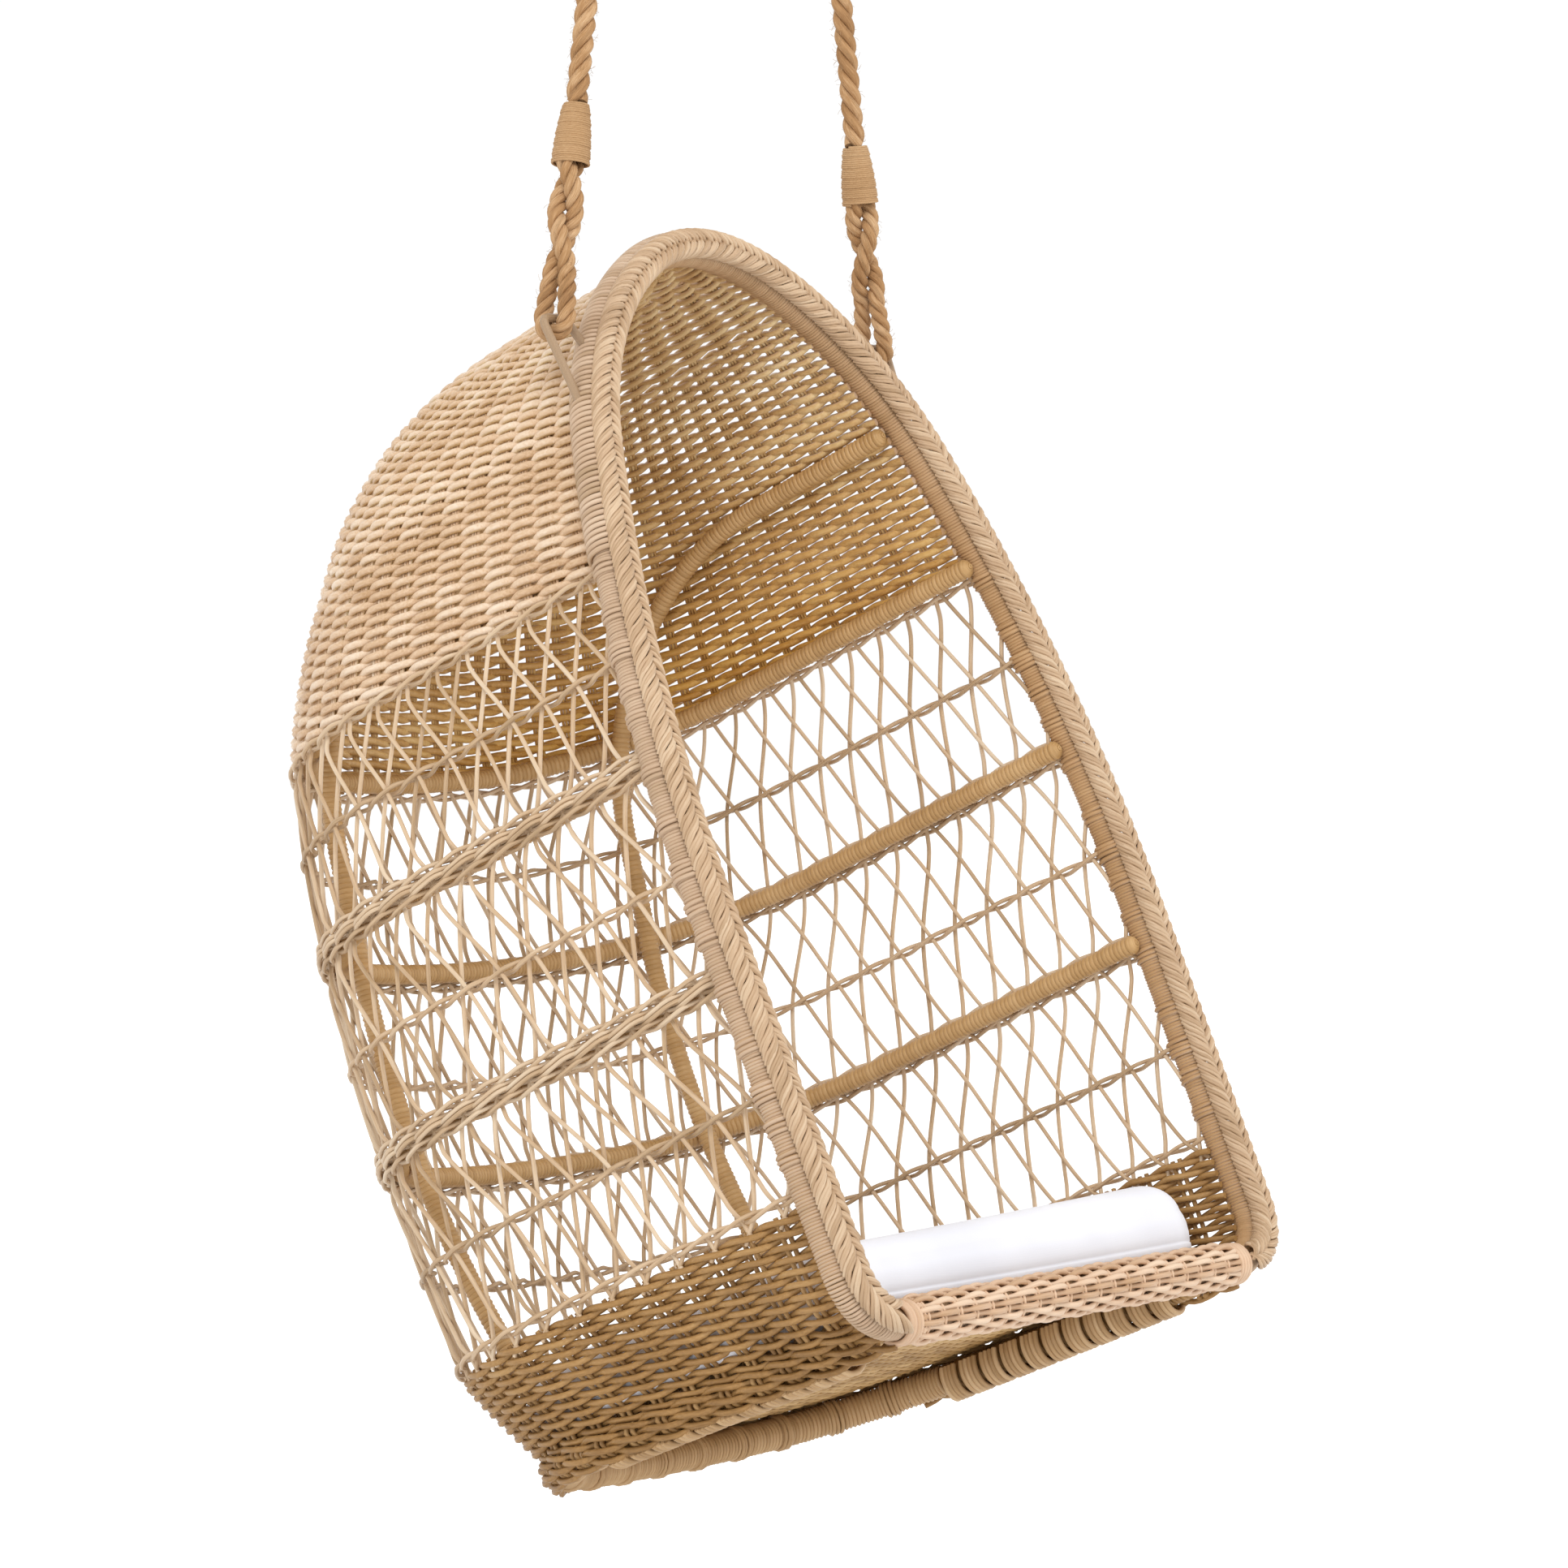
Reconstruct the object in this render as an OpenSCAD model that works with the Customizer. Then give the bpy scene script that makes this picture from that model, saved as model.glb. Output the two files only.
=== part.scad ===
// Hanging egg chair: a leaned woven shell on a wrapped tube frame, hung from two ropes.
// Row frame: +Z up, the open front faces -Y, the origin lies midway between the two
// ceiling brackets on the ceiling's face. The chair hangs leaned back at rest.

/* [Chair shell] */
// Distance between the centres of the hoop's legs at the bottom
hoop_width = 660; // [560:5:760]
// How much wider the hoop is where its arch starts, on each side
hoop_splay = 7; // [0:1:20]
// Height at which the hoop's arch starts
arch_start = 346; // [300:2:400]
// Radius of the arch's long side curve
arch_side_r = 1230; // [1000:10:1500]
// Turn of the arch's side curve, in degrees
arch_side_turn = 21.6; // [18:0.2:25]
// Radius of the arch's shoulder curve
arch_shoulder_r = 345; // [280:5:400]
// Turn of the arch's shoulder curve, in degrees
arch_shoulder_turn = 43; // [35:0.5:50]
// Outer radius of the wrapped hoop tube
hoop_r = 14; // [11:0.5:16]
// Bend radius at the hoop's two bottom corners
hoop_corner_r = 50; // [40:1:70]
// Angle that the hanging chair leans back, in degrees
lean = 24; // [10:0.5:30]

/* [Rails and posts] */
// Radius of the wrapped rails that run round the back
rail_r = 8.5; // [7:0.25:9]
// Bend radius of the rails at the rear corners
rail_corner_r = 200; // [150:5:240]
// Radius of the bowed stretch of the rails across the back
back_r = 760; // [600:10:1200]
// Height of the rail along the lower edge of the hood
hood_rail_z = 700; // [690:1:715]
// Height of the upper arm rail
upper_rail_z = 513; // [500:1:525]
// Height of the lower arm rail
lower_rail_z = 315; // [305:1:330]
// Height of the top edge of the dense base weave
base_top_z = 116; // [105:1:125]
// Depth of the shell at the hood rail
hood_depth = 504; // [480:2:520]
// Depth of the shell at the upper arm rail
upper_depth = 520; // [490:2:540]
// Depth of the shell at the lower arm rail
lower_depth = 528; // [500:2:550]
// Depth of the shell at the top of the base weave
base_depth = 520; // [500:2:540]
// Rise of the straight front end of each side tube above the hood rail
side_tube_rise = 138; // [120:1:150]
// Radius of each wrapped side tube
side_tube_r = 8.5; // [7:0.25:9]
// Bend radius of the side tubes at the top of the back
side_bend_r = 273; // [240:1:290]
// Distance of each side tube from the middle plane where it crosses the hood rail
post_x = 218.5; // [200:0.5:230]
// Height of the lower end of each rear post
post_end_z = 101; // [95:1:110]

/* [Weave] */
// Thickness of the dense hood weave
hood_weave_t = 5; // [4:0.5:5]
// Thickness of the dense base weave
base_weave_t = 12; // [8:0.5:12]
// How far the base weave draws in on its way down to the bottom rail
base_draw = 44; // [40:1:50]
// Radius of one lattice strand
strand_r = 2; // [1.5:0.1:2.2]
// Distance between neighbouring strand pairs along a rail
strand_pitch = 54; // [50:1:80]
// Radius of one strand of a twined row
row_r = 2; // [1.5:0.1:2.2]
// Height of the twined row between the hood and the upper arm rail
top_row_z = 606; // [580:1:630]
// Height of the twined row between the two arm rails
middle_row_z = 408; // [390:1:440]
// Height of the twined row between the lower arm rail and the base weave
bottom_row_z = 210; // [190:1:240]
// Width of the braid on the hoop's front face
braid_w = 24; // [20:0.5:26]
// Thickness of the braid
braid_t = 12; // [8:0.5:13]

/* [Seat] */
// Outer radius of the wrapped bottom rail under the seat
bottom_rail_r = 16; // [14:0.5:17]
// Height of the bottom rail's centre at the front
bottom_rail_z = -3; // [-4:0.5:0]
// Slope of the seat, rising towards the back, in degrees
seat_tilt = 1.9; // [1:0.1:3]
// Thickness of the woven seat panel
seat_t = 8; // [6:0.5:9]
// Outer radius of the woven roll on the hoop's bottom tube
roll_r = 20.5; // [18:0.5:21]
// Radius of one turn of the roll's end wraps
roll_wrap_r = 2.7; // [2:0.1:3]
// Number of turns in each end wrap of the roll
roll_wrap_turns = 4; // [2:1:4]
// Thickness of the seat cushion at its edge
cushion_t = 56; // [40:1:80]
// Rise of the cushion's crown over its edge
cushion_crown = 9; // [4:0.5:14]
// Bend radius of the cushion's two front corners, seen from above
cushion_corner_r = 45; // [30:1:60]

/* [Hanging] */
// Radius of the bail rods
bail_r = 4; // [3:0.25:5]
// Height of the bail's level stretch, on which the rope hangs
bail_z = 927; // [920:1:935]
// Distance of the rope from the chair's middle plane where it hangs on the bail
bail_x = 247; // [244:0.5:250]
// Bend radius of the bails
bail_bend_r = 7; // [5:0.5:8]
// Distance from the ceiling's face down to the bails' level stretches
drop = 450; // [440:5:520]
// Inward lean of the ropes from the vertical, in degrees
rope_lean = 9.4; // [6:0.2:11]
// Diameter of the hanging ropes
rope_d = 20; // [14:1:22]
// Diameter of the rope in its eyes
eye_d = 17; // [14:0.5:17]
// Radius of the whippings at their thick ends
whipping_r = 17.2; // [15:0.2:18]
// Length of the lower whippings
whipping_len = 56; // [40:1:56]
// Length of the upper whippings
top_whipping_len = 26; // [20:1:30]
// Radius of the pins in the ceiling brackets
pin_r = 5; // [4:0.25:5.5]
// Width of the ceiling brackets' square plates
plate_w = 64; // [60:1:80]
// Distance between the screw holes of a ceiling bracket
plate_hole_pitch = 44; // [40:1:48]
// Radius of the screw holes in the ceiling brackets
plate_hole_r = 2.75; // [2:0.25:3.5]

/* [Hidden] */
$fn = 48;

// Gap between pieces that lie on each other
gap = 0.3;
// Running clearance of the rope's eyes round what they hang on
eye_gap = 0.6;
pale_wicker = [0.86, 0.75, 0.58];
wicker = [0.80, 0.66, 0.46];
dark_wicker = [0.70, 0.55, 0.37];
rope_tan = [0.78, 0.60, 0.38];
rod_brown = [0.63, 0.55, 0.44];
cushion_white = [0.95, 0.95, 0.96];

// ---- Swept runs: a profile carried along straights and bends in one plane ----

// A run starts at the origin towards +Z and bends towards +X. A straight is
// [0, length] and a bend is [1, radius, angle].
sag = 0.4;
function bend_steps(leg) = ceil(leg[2] / (2 * acos(1 - sag / leg[1])));
function bend_centre(p, h, radius) = p + radius * [cos(h), -sin(h)];
function bend_point(c, h, radius) = c - radius * [cos(h), -sin(h)];

// Points [x, z] and headings along a run, from leg i on
function trace(legs, i = 0, p = [0, 0], h = 0) =
    i == len(legs) ? [[p, h]] :
    let (leg = legs[i])
    leg[0] == 0 ? concat([[p, h]], trace(legs, i + 1, p + leg[1] * [sin(h), cos(h)], h)) :
    let (c = bend_centre(p, h, leg[1]), n = bend_steps(leg), step = leg[2] / n)
    concat([for (k = [0 : n - 1]) [bend_point(c, h + k * step, leg[1]), h + k * step]],
           trace(legs, i + 1, bend_point(c, h + leg[2], leg[1]), h + leg[2]));

function round_profile(r, sides) = [for (k = [0 : sides - 1]) r * [cos(360 * k / sides), sin(360 * k / sides)]];
function flat_profile(w, h) = [[w, -h] / 2, [w, h] / 2, [-w, h] / 2, [-w, -h] / 2];

// Each profile point is [towards the bends, along the plane's axis]
module swept(legs, profile, closed = false) {
    path = trace(legs);
    count = closed ? len(path) - 1 : len(path);
    n = len(profile);
    pts = [
        for (j = [0 : count - 1], q = profile)
            let (p = path[j][0], h = path[j][1])
            [p[0] + q[0] * cos(h), q[1], p[1] - q[0] * sin(h)]
    ];
    skin = [
        for (j = [0 : closed ? count - 1 : count - 2], k = [0 : n - 1])
            let (a = j * n + k, b = j * n + (k + 1) % n, c = (j + 1) % count * n + k,
                 d = (j + 1) % count * n + (k + 1) % n)
            each [[a, d, b], [a, c, d]]
    ];
    last = (count - 1) * n;
    caps = closed ? [] : [
        for (k = [1 : n - 2]) each [[0, k, k + 1], [last, last + k + 1, last + k]]
    ];
    polyhedron(points = pts, faces = concat(skin, caps), convexity = 10);
}

// A round bar between two points
module bar(p, q, r) {
    d = q - p;
    translate(p)
        rotate([0, acos(d[2] / norm(d)), atan2(d[1], d[0])])
            cylinder(h = norm(d), r = r, $fn = 24);
}

function lerp(t, t0, t1, a, b) = a + (b - a) * (t - t0) / (t1 - t0);

// ---- Front hoop: outline of the chair's open front ----

splay = atan2(hoop_splay, arch_start);
corner_foot = hoop_corner_r * tan((90 - splay) / 2);
foot_run = hoop_width / 2 - corner_foot;
leg_len = norm([hoop_splay, arch_start]) - corner_foot;
side_c = [hoop_width / 2 + hoop_splay - arch_side_r * cos(splay),
          arch_start + arch_side_r * sin(splay)];
side_end = arch_side_turn - splay;
shoulder = side_c + arch_side_r * [cos(side_end), sin(side_end)];
shoulder_c = shoulder - arch_shoulder_r * [cos(side_end), sin(side_end)];
shoulder_end = side_end + arch_shoulder_turn;
crown = shoulder_c + arch_shoulder_r * [cos(shoulder_end), sin(shoulder_end)];
crown_r = crown[0] / cos(shoulder_end);
crown_c = crown[1] - crown_r * sin(shoulder_end);
apex_z = crown_c + crown_r;

// Half width of the hoop's centre line at height z
function hoop_half(z) =
    z < arch_start ? hoop_width / 2 + hoop_splay * z / arch_start :
    z < shoulder[1] ? side_c[0] + sqrt(pow(arch_side_r, 2) - pow(z - side_c[1], 2)) :
    z < crown[1] ? shoulder_c[0] + sqrt(pow(arch_shoulder_r, 2) - pow(z - shoulder_c[1], 2)) :
    sqrt(max(0, pow(crown_r, 2) - pow(z - crown_c, 2)));

// Cosine of the hoop's slope from the vertical at height z
function hoop_cos(z) = 10 / norm([hoop_half(z - 5) - hoop_half(z + 5), 10]);

// The hoop's line from one end of its bottom straight over the arch to the other
arch_legs = [
    [1, hoop_corner_r, 90 - splay], [0, leg_len], [1, arch_side_r, arch_side_turn],
    [1, arch_shoulder_r, arch_shoulder_turn], [1, crown_r, 180 - 2 * shoulder_end],
    [1, arch_shoulder_r, arch_shoulder_turn], [1, arch_side_r, arch_side_turn], [0, leg_len],
    [1, hoop_corner_r, 90 - splay]
];

// Turns a run into the hoop's plane: from x = start along +X, bending upwards
module in_hoop_plane(start) {
    translate([start, 0, 0]) rotate([180, -90, 0]) children();
}

// ---- Plan curve of the shell: straight sides, round corners, bowed back ----

// Rails lie against the inner side of the hoop tube
rail_inset = hoop_r + rail_r;
function half_width(z) = hoop_half(z) - rail_inset;

// Depth of the rails' line at height z, on the middle plane
function hood_share(z) = min(1, max(0, (z - hood_rail_z) / (apex_z - hood_rail_z)));
function depth(z) =
    z > hood_rail_z ? hood_depth * pow(1 - pow(hood_share(z), 1.16), 0.25) :
    z > upper_rail_z ? lerp(z, upper_rail_z, hood_rail_z, upper_depth, hood_depth) :
    z > lower_rail_z ? lerp(z, lower_rail_z, upper_rail_z, lower_depth, upper_depth) :
    z > base_top_z ? lerp(z, base_top_z, lower_rail_z, base_depth, lower_depth) :
    base_depth;

// A plan is [half width, depth, corner radius, back radius]
function plan(z, off = 0) =
    [half_width(z) + off, depth(z) + off, rail_corner_r + off, back_r + off];
function grown(p, off) = [p[0] + off, p[1] + off, max(2, p[2] + off), p[3] + off];

// Length of a plan's straight side, and the angle of half its back
function side_len(p) = (p[1] - p[3]) + sqrt(pow(p[3] - p[2], 2) - pow(p[0] - p[2], 2));
function back_half(p) = asin((p[0] - p[2]) / (p[3] - p[2]));
function back_run(p) = p[3] * back_half(p) * PI / 180;
function corner_run(p) = p[2] * (90 - back_half(p)) * PI / 180;
function half_len(p) = back_run(p) + corner_run(p) + side_len(p);

// Point at a distance run from the middle of the back, to the right where positive
function plan_point(p, run) =
    let (r = abs(run), a = r / p[3] * 180 / PI, back = back_run(p), turn = back + corner_run(p),
         b = back_half(p) + (r - back) / p[2] * 180 / PI,
         q = r < back ? [p[3] * sin(a), p[1] - p[3] + p[3] * cos(a)] :
             r < turn ? [p[0] - p[2] + p[2] * sin(b), side_len(p) + p[2] * cos(b)] :
             [p[0], side_len(p) - (r - turn)])
    [run < 0 ? -q[0] : q[0], q[1]];

// The same point by its share s of the half length, moved outward by off
function shell_point(z, s, off) =
    let (p = plan(z), q = grown(p, off), l = half_len(p) * abs(s),
         run = l < back_run(p) ? l * q[3] / p[3] :
               l < back_run(p) + corner_run(p) ? back_run(q) + (l - back_run(p)) * q[2] / p[2] :
               back_run(q) + corner_run(q) + l - back_run(p) - corner_run(p),
         xy = plan_point(q, s < 0 ? -run : run))
    [xy[0], xy[1], z];

// How far behind the hoop's centre line a bar of radius r clears the hoop tube
function front_y(z, off, r) =
    let (aside = max(0, (rail_inset - off) * hoop_cos(z) - r))
    sqrt(max(0, pow(hoop_r + gap, 2) - pow(aside, 2)));

// A profile carried round a plan at height z, open at the front from depth y0
module round_plan(p, z, y0, profile) {
    b = back_half(p);
    side = side_len(p) - y0;
    translate([-p[0], y0, z])
        rotate([-90, 0, 0])
            swept([[0, side], [1, p[2], 90 - b], [1, p[3], 2 * b], [1, p[2], 90 - b], [0, side]],
                  profile);
}

module rail(z) {
    color(wicker)
        hung() round_plan(plan(z), z, front_y(z, 0, rail_r), round_profile(rail_r, 10));
}

// ---- Layers outside the rails: two strand layers, then the twined rows ----

layer_gap = 0.6;
// Extra corner radius of the inner rows, because straight strands pass inside round corners
corner_ease = 24;
inner_strand = rail_r + gap + strand_r;
outer_strand = inner_strand + 2 * strand_r + layer_gap;
outer_row = outer_strand + strand_r + layer_gap / 2 + row_r;
inner_row = inner_strand - strand_r - 0.8 - row_r;
strand_tip = gap + strand_r / 2;
row_profile = round_profile(row_r, 6);
hood_edge_z = hood_rail_z - rail_r - gap;

side_tube_z = hood_rail_z + side_tube_rise;

// Heights between which the strands of each lattice run: top, middle, bottom
zones = [
    [upper_rail_z + strand_tip, hood_edge_z - strand_tip],
    [lower_rail_z + strand_tip, upper_rail_z - strand_tip],
    [base_top_z + strand_tip, lower_rail_z - strand_tip]
];
function zone_plan(zone, z, off) =
    grown([for (i = [0 : 3]) lerp(z, zone[0], zone[1], plan(zone[0])[i], plan(zone[1])[i])], off);

// A twined row: one strand inside the lattice and one outside
module twined_row(zone, z) {
    color(wicker)
        hung()
            for (row = [[inner_row, corner_ease], [outer_row, 0]])
                round_plan(zone_plan(zone, z, row[0]) + [0, 0, row[1], 0], z,
                           front_y(z, row[0], row_r), row_profile);
}

// From each point of the upper edge a pair of strands runs down, one to either side
module lattice(zone) {
    count = floor(half_len(plan(hood_rail_z)) / strand_pitch);
    step = 1 / (count + 0.5);
    middle = (strand_r + gap) / half_len(plan(zone[1]));
    color(wicker)
        hung()
            for (k = [0 : count - 1], side = [-1, 1]) {
                near = side * max(k * step, middle);
                far = side * (k + 1) * step;
                bar(shell_point(zone[0], near, inner_strand),
                    shell_point(zone[1], far, inner_strand), strand_r);
                bar(shell_point(zone[0], far, outer_strand),
                    shell_point(zone[1], near, outer_strand), strand_r);
            }
}

band_t = 3;
band_w = 17;
band_off = outer_row - row_r + band_t / 2 + 0.5;
band_row_at = band_w / 2 + gap + row_r;

// Three rows that cover the strands' ends outside a rail: a flat one between two round ones
module rail_band(z) {
    color(wicker)
        hung() {
            round_plan(plan(z, band_off), z, front_y(z, band_off, band_t / 2),
                       flat_profile(band_t, band_w));
            for (row_z = [z - band_row_at, z + band_row_at])
                round_plan(plan(row_z, outer_row), row_z, front_y(row_z, outer_row, row_r),
                           row_profile);
        }
}

// ---- Ceiling brackets, in the row frame ----

pin_drop = 28;
cheek_t = 5;
cheek_gap = 26;
cheek_r = 13;
plate_t = 5;
pin_head_r = 8;
pin_head_t = 4;
rope_rise = drop - pin_drop;
anchor_x = bail_x - rope_rise * tan(rope_lean);

// Pieces are modelled on the left and mirrored to the right
module on_side(side) {
    mirror([side > 0 ? 1 : 0, 0, 0]) children();
}

// A cheek of a bracket, rounded round the pin
module bracket_cheek() {
    translate([-cheek_t / 2, 0, -pin_drop]) {
        rotate([0, 90, 0]) cylinder(h = cheek_t, r = cheek_r);
        translate([0, -cheek_r, 0]) cube([cheek_t, 2 * cheek_r, pin_drop - plate_t + 1]);
    }
}

module ceiling_bracket(side) {
    color(rod_brown)
        on_side(side)
            translate([-anchor_x, 0, 0])
                difference() {
                    union() {
                        translate([-plate_w / 2, -plate_w / 2, -plate_t])
                            cube([plate_w, plate_w, plate_t]);
                        for (s = [-1, 1])
                            translate([s * (cheek_gap + cheek_t) / 2, 0, 0]) bracket_cheek();
                    }
                    for (x = [-1, 1], y = [-1, 1])
                        translate([x * plate_hole_pitch / 2, y * plate_hole_pitch / 2, -plate_t - 1])
                            cylinder(h = plate_t + 2, r = plate_hole_r);
                    translate([-cheek_gap, 0, -pin_drop])
                        rotate([0, 90, 0]) cylinder(h = 2 * cheek_gap, r = pin_r + 0.05);
                }
}

module bracket_pin(side) {
    half = cheek_gap / 2 + cheek_t + gap;
    color(rod_brown)
        on_side(side)
            translate([-anchor_x, 0, -pin_drop])
                rotate([0, 90, 0]) {
                    translate([0, 0, -half]) cylinder(h = 2 * half, r = pin_r);
                    for (s = [-1, 1])
                        translate([0, 0, s > 0 ? half : -half - pin_head_t])
                            cylinder(h = pin_head_t, r = pin_head_r);
                }
}

// ---- Ropes: an eye at both ends, bound by whippings, and one taut stretch between ----

// Heights along the rope, from the middle of the bail's rod
lower_whipping_at = 136;
upper_whipping_at = 340;
eye_fork = 46;
eye_leg = (eye_d + gap) / 2;
whipping_thin_r = rope_d / 2 + 2;
rope_len = rope_rise / cos(rope_lean);

// Moves to the bail's hanging point, +Z up the rope
module at_rope(side) {
    on_side(side)
        translate([-bail_x, 0, -drop]) rotate([0, rope_lean, 0]) children();
}

// A tube of round section swept along points in a plane of constant x
module tube(pts, r, sides) {
    last = len(pts) - 1;
    rings = [
        for (i = [0 : last])
            let (d = pts[min(i + 1, last)] - pts[max(i - 1, 0)],
                 across = [1, 0, 0],
                 up = cross(d, across) / norm(d))
            for (k = [0 : sides - 1])
                pts[i] + r * (cos(360 * k / sides) * across + sin(360 * k / sides) * up)
    ];
    skin = [
        for (i = [0 : last - 1], k = [0 : sides - 1])
            let (a = i * sides + k, b = i * sides + (k + 1) % sides)
            each [[a, b + sides, b], [a, a + sides, b + sides]]
    ];
    caps = [
        for (k = [1 : sides - 2])
            each [[0, k, k + 1], [last * sides, last * sides + k + 1, last * sides + k]]
    ];
    polyhedron(points = rings, faces = concat(skin, caps), convexity = 6);
}

// An eye of rope hung round a bar of radius r at the origin, its legs up to height top
module rope_eye(r, top) {
    loop_r = r + eye_gap + eye_d / 2;
    neck = lerp(2, 0, 3, loop_r, eye_leg);
    pts = concat(
        [[0, -eye_leg, top], [0, -eye_leg, eye_fork], [0, -neck, eye_fork * 2 / 3]],
        [for (a = [180 : 22.5 : 360]) [0, loop_r * cos(a), loop_r * sin(a)]],
        [[0, neck, eye_fork * 2 / 3], [0, eye_leg, eye_fork], [0, eye_leg, top]]);
    color(rope_tan) tube(pts, eye_d / 2, 8);
}

module lower_eye(side) {
    at_rope(side) rope_eye(bail_r, lower_whipping_at - gap);
}

module upper_eye(side) {
    at_rope(side)
        translate([0, 0, rope_len])
            rotate([180, 0, 0])
                rope_eye(pin_r, rope_len - upper_whipping_at - top_whipping_len - gap);
}

module lower_whipping(side) {
    color(rope_tan)
        at_rope(side)
            translate([0, 0, lower_whipping_at])
                cylinder(h = whipping_len, r1 = whipping_r, r2 = whipping_thin_r, $fn = 32);
}

module upper_whipping(side) {
    color(rope_tan)
        at_rope(side)
            translate([0, 0, upper_whipping_at])
                cylinder(h = top_whipping_len, r1 = whipping_thin_r, r2 = whipping_r, $fn = 32);
}

// The taut stretch between the whippings
module rope(side) {
    from = lower_whipping_at + whipping_len + gap;
    to = upper_whipping_at - gap;
    route = [for (i = [0 : 3]) [0, 0, from + (to - from) * i / 3]];
    color(rope_tan) at_rope(side) tube(route, rope_d / 2, 12);
}

// ---- Chair frame, in the chair's own frame: x right, y back, z up its front ----

// Leans the chair and hangs it from the bails
module hung() {
    translate([0, 0, -drop]) rotate([-lean, 0, 0]) translate([0, 0, -bail_z]) children();
}

module front_hoop() {
    legs = concat([[0, 2 * foot_run]], arch_legs);
    color(pale_wicker)
        hung() in_hoop_plane(-foot_run) swept(legs, round_profile(hoop_r, 12), closed = true);
}

// Two rounded ridges with a groove between them, on the hoop's front face
module braided_rim() {
    near = hoop_r + gap;
    half_w = braid_w / 2;
    profile = [
        [half_w * 0.8, near], [half_w, near + braid_t * 0.4], [half_w * 0.75, near + braid_t * 0.9],
        [half_w * 0.4, near + braid_t], [0, near + braid_t * 0.7],
        [-half_w * 0.4, near + braid_t], [-half_w * 0.75, near + braid_t * 0.9],
        [-half_w, near + braid_t * 0.4], [-half_w * 0.8, near]
    ];
    color(pale_wicker) hung() in_hoop_plane(foot_run) swept(arch_legs, profile);
}

bail_half = eye_d / 2 + 2.5;
bail_outer_turn = 98;
bail_inner_turn = 61;
bail_outer_leg = 72;
bail_inner_leg = 40;

// A short stretch of the hoop's outline near height z, on the left, as a straight tool
module hoop_stretch(z) {
    low = [-hoop_half(z - 15), 0, z - 15];
    high = [-hoop_half(z + 15), 0, z + 15];
    out = [low[2] - high[2], 0, high[0] - low[0]] / norm(high - low);
    d = (high - low) * 1.2;
    translate(low - 0.6 * (high - low) / 2)
        rotate([0, atan2(d[0], d[2]), 0]) cylinder(h = norm(d) * 1.5, r = hoop_r + gap);
}

// The level stretch carries the rope, and both legs bend down to the hoop
module hanger_bail(side) {
    rise = [[0, bail_inner_leg], [1, bail_bend_r, bail_inner_turn], [0, bail_half]];
    fall = [[0, bail_half], [1, bail_bend_r, bail_outer_turn], [0, bail_outer_leg]];
    risen = trace(rise);
    middle = risen[len(risen) - 1][0];
    color(rod_brown)
        hung()
            on_side(side)
                difference() {
                    translate([-bail_x, 0, bail_z])
                        rotate([180, 90 + bail_inner_turn, 0])
                            translate([-middle[0], 0, -middle[1]])
                                swept(concat(rise, fall), round_profile(bail_r, 10));
                    hoop_stretch(bail_z - 44);
                    hoop_stretch(bail_z - 86);
                }
}

// Where a side tube seats inside the rail at height z, at distance x from the middle
side_seat = rail_r + side_tube_r + gap + sag;
function seat_y(z, x) =
    let (p = plan(z, -side_seat)) side_len(p) + sqrt(pow(p[2], 2) - pow(x - p[0] + p[2], 2));

side_tube_x = hoop_half(side_tube_z) - rail_inset / hoop_cos(side_tube_z);
side_tube_y = front_y(side_tube_z, 0, side_tube_r) + 1;
side_toe = atan2(post_x - side_tube_x, seat_y(hood_rail_z, post_x) - side_tube_y);
function toed_y(z) =
    seat_y(z, post_x + (seat_y(z, post_x) - seat_y(hood_rail_z, post_x)) * tan(side_toe)) - 0.1;

// Level at the top, down round a bend to seat in all three rails, then bowed inwards
module side_tube(side) {
    bend_c = [toed_y(hood_rail_z) - sqrt(pow(side_bend_r, 2)
        - pow(side_bend_r - side_tube_z + hood_rail_z, 2)), side_tube_z - side_bend_r];
    upper = [toed_y(upper_rail_z), upper_rail_z];
    lower = [toed_y(lower_rail_z), lower_rail_z];
    to_upper = upper - bend_c;
    turn = atan2(to_upper[0], to_upper[1]) - acos(side_bend_r / norm(to_upper));
    straight = sqrt(pow(norm(to_upper), 2) - pow(side_bend_r, 2));
    bow = lower - upper;
    post_r = pow(norm(bow), 2) / (2 * (bow * [-sin(turn), -cos(turn)]));
    bow_turn = 90 - turn + asin((upper_rail_z - post_end_z) / post_r - cos(turn));
    color(wicker)
        hung()
            on_side(side)
                translate([-side_tube_x, side_tube_y, side_tube_z])
                    rotate([0, 0, side_toe])
                        rotate([-90, 90, 0])
                            swept([[0, bend_c[0] - side_tube_y], [1, side_bend_r, turn],
                                   [0, straight], [1, post_r, bow_turn]],
                                  round_profile(side_tube_r, 10));
}

// ---- Dense weaves: hood and base, each one woven wall ----

wall_out = 16;

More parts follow.
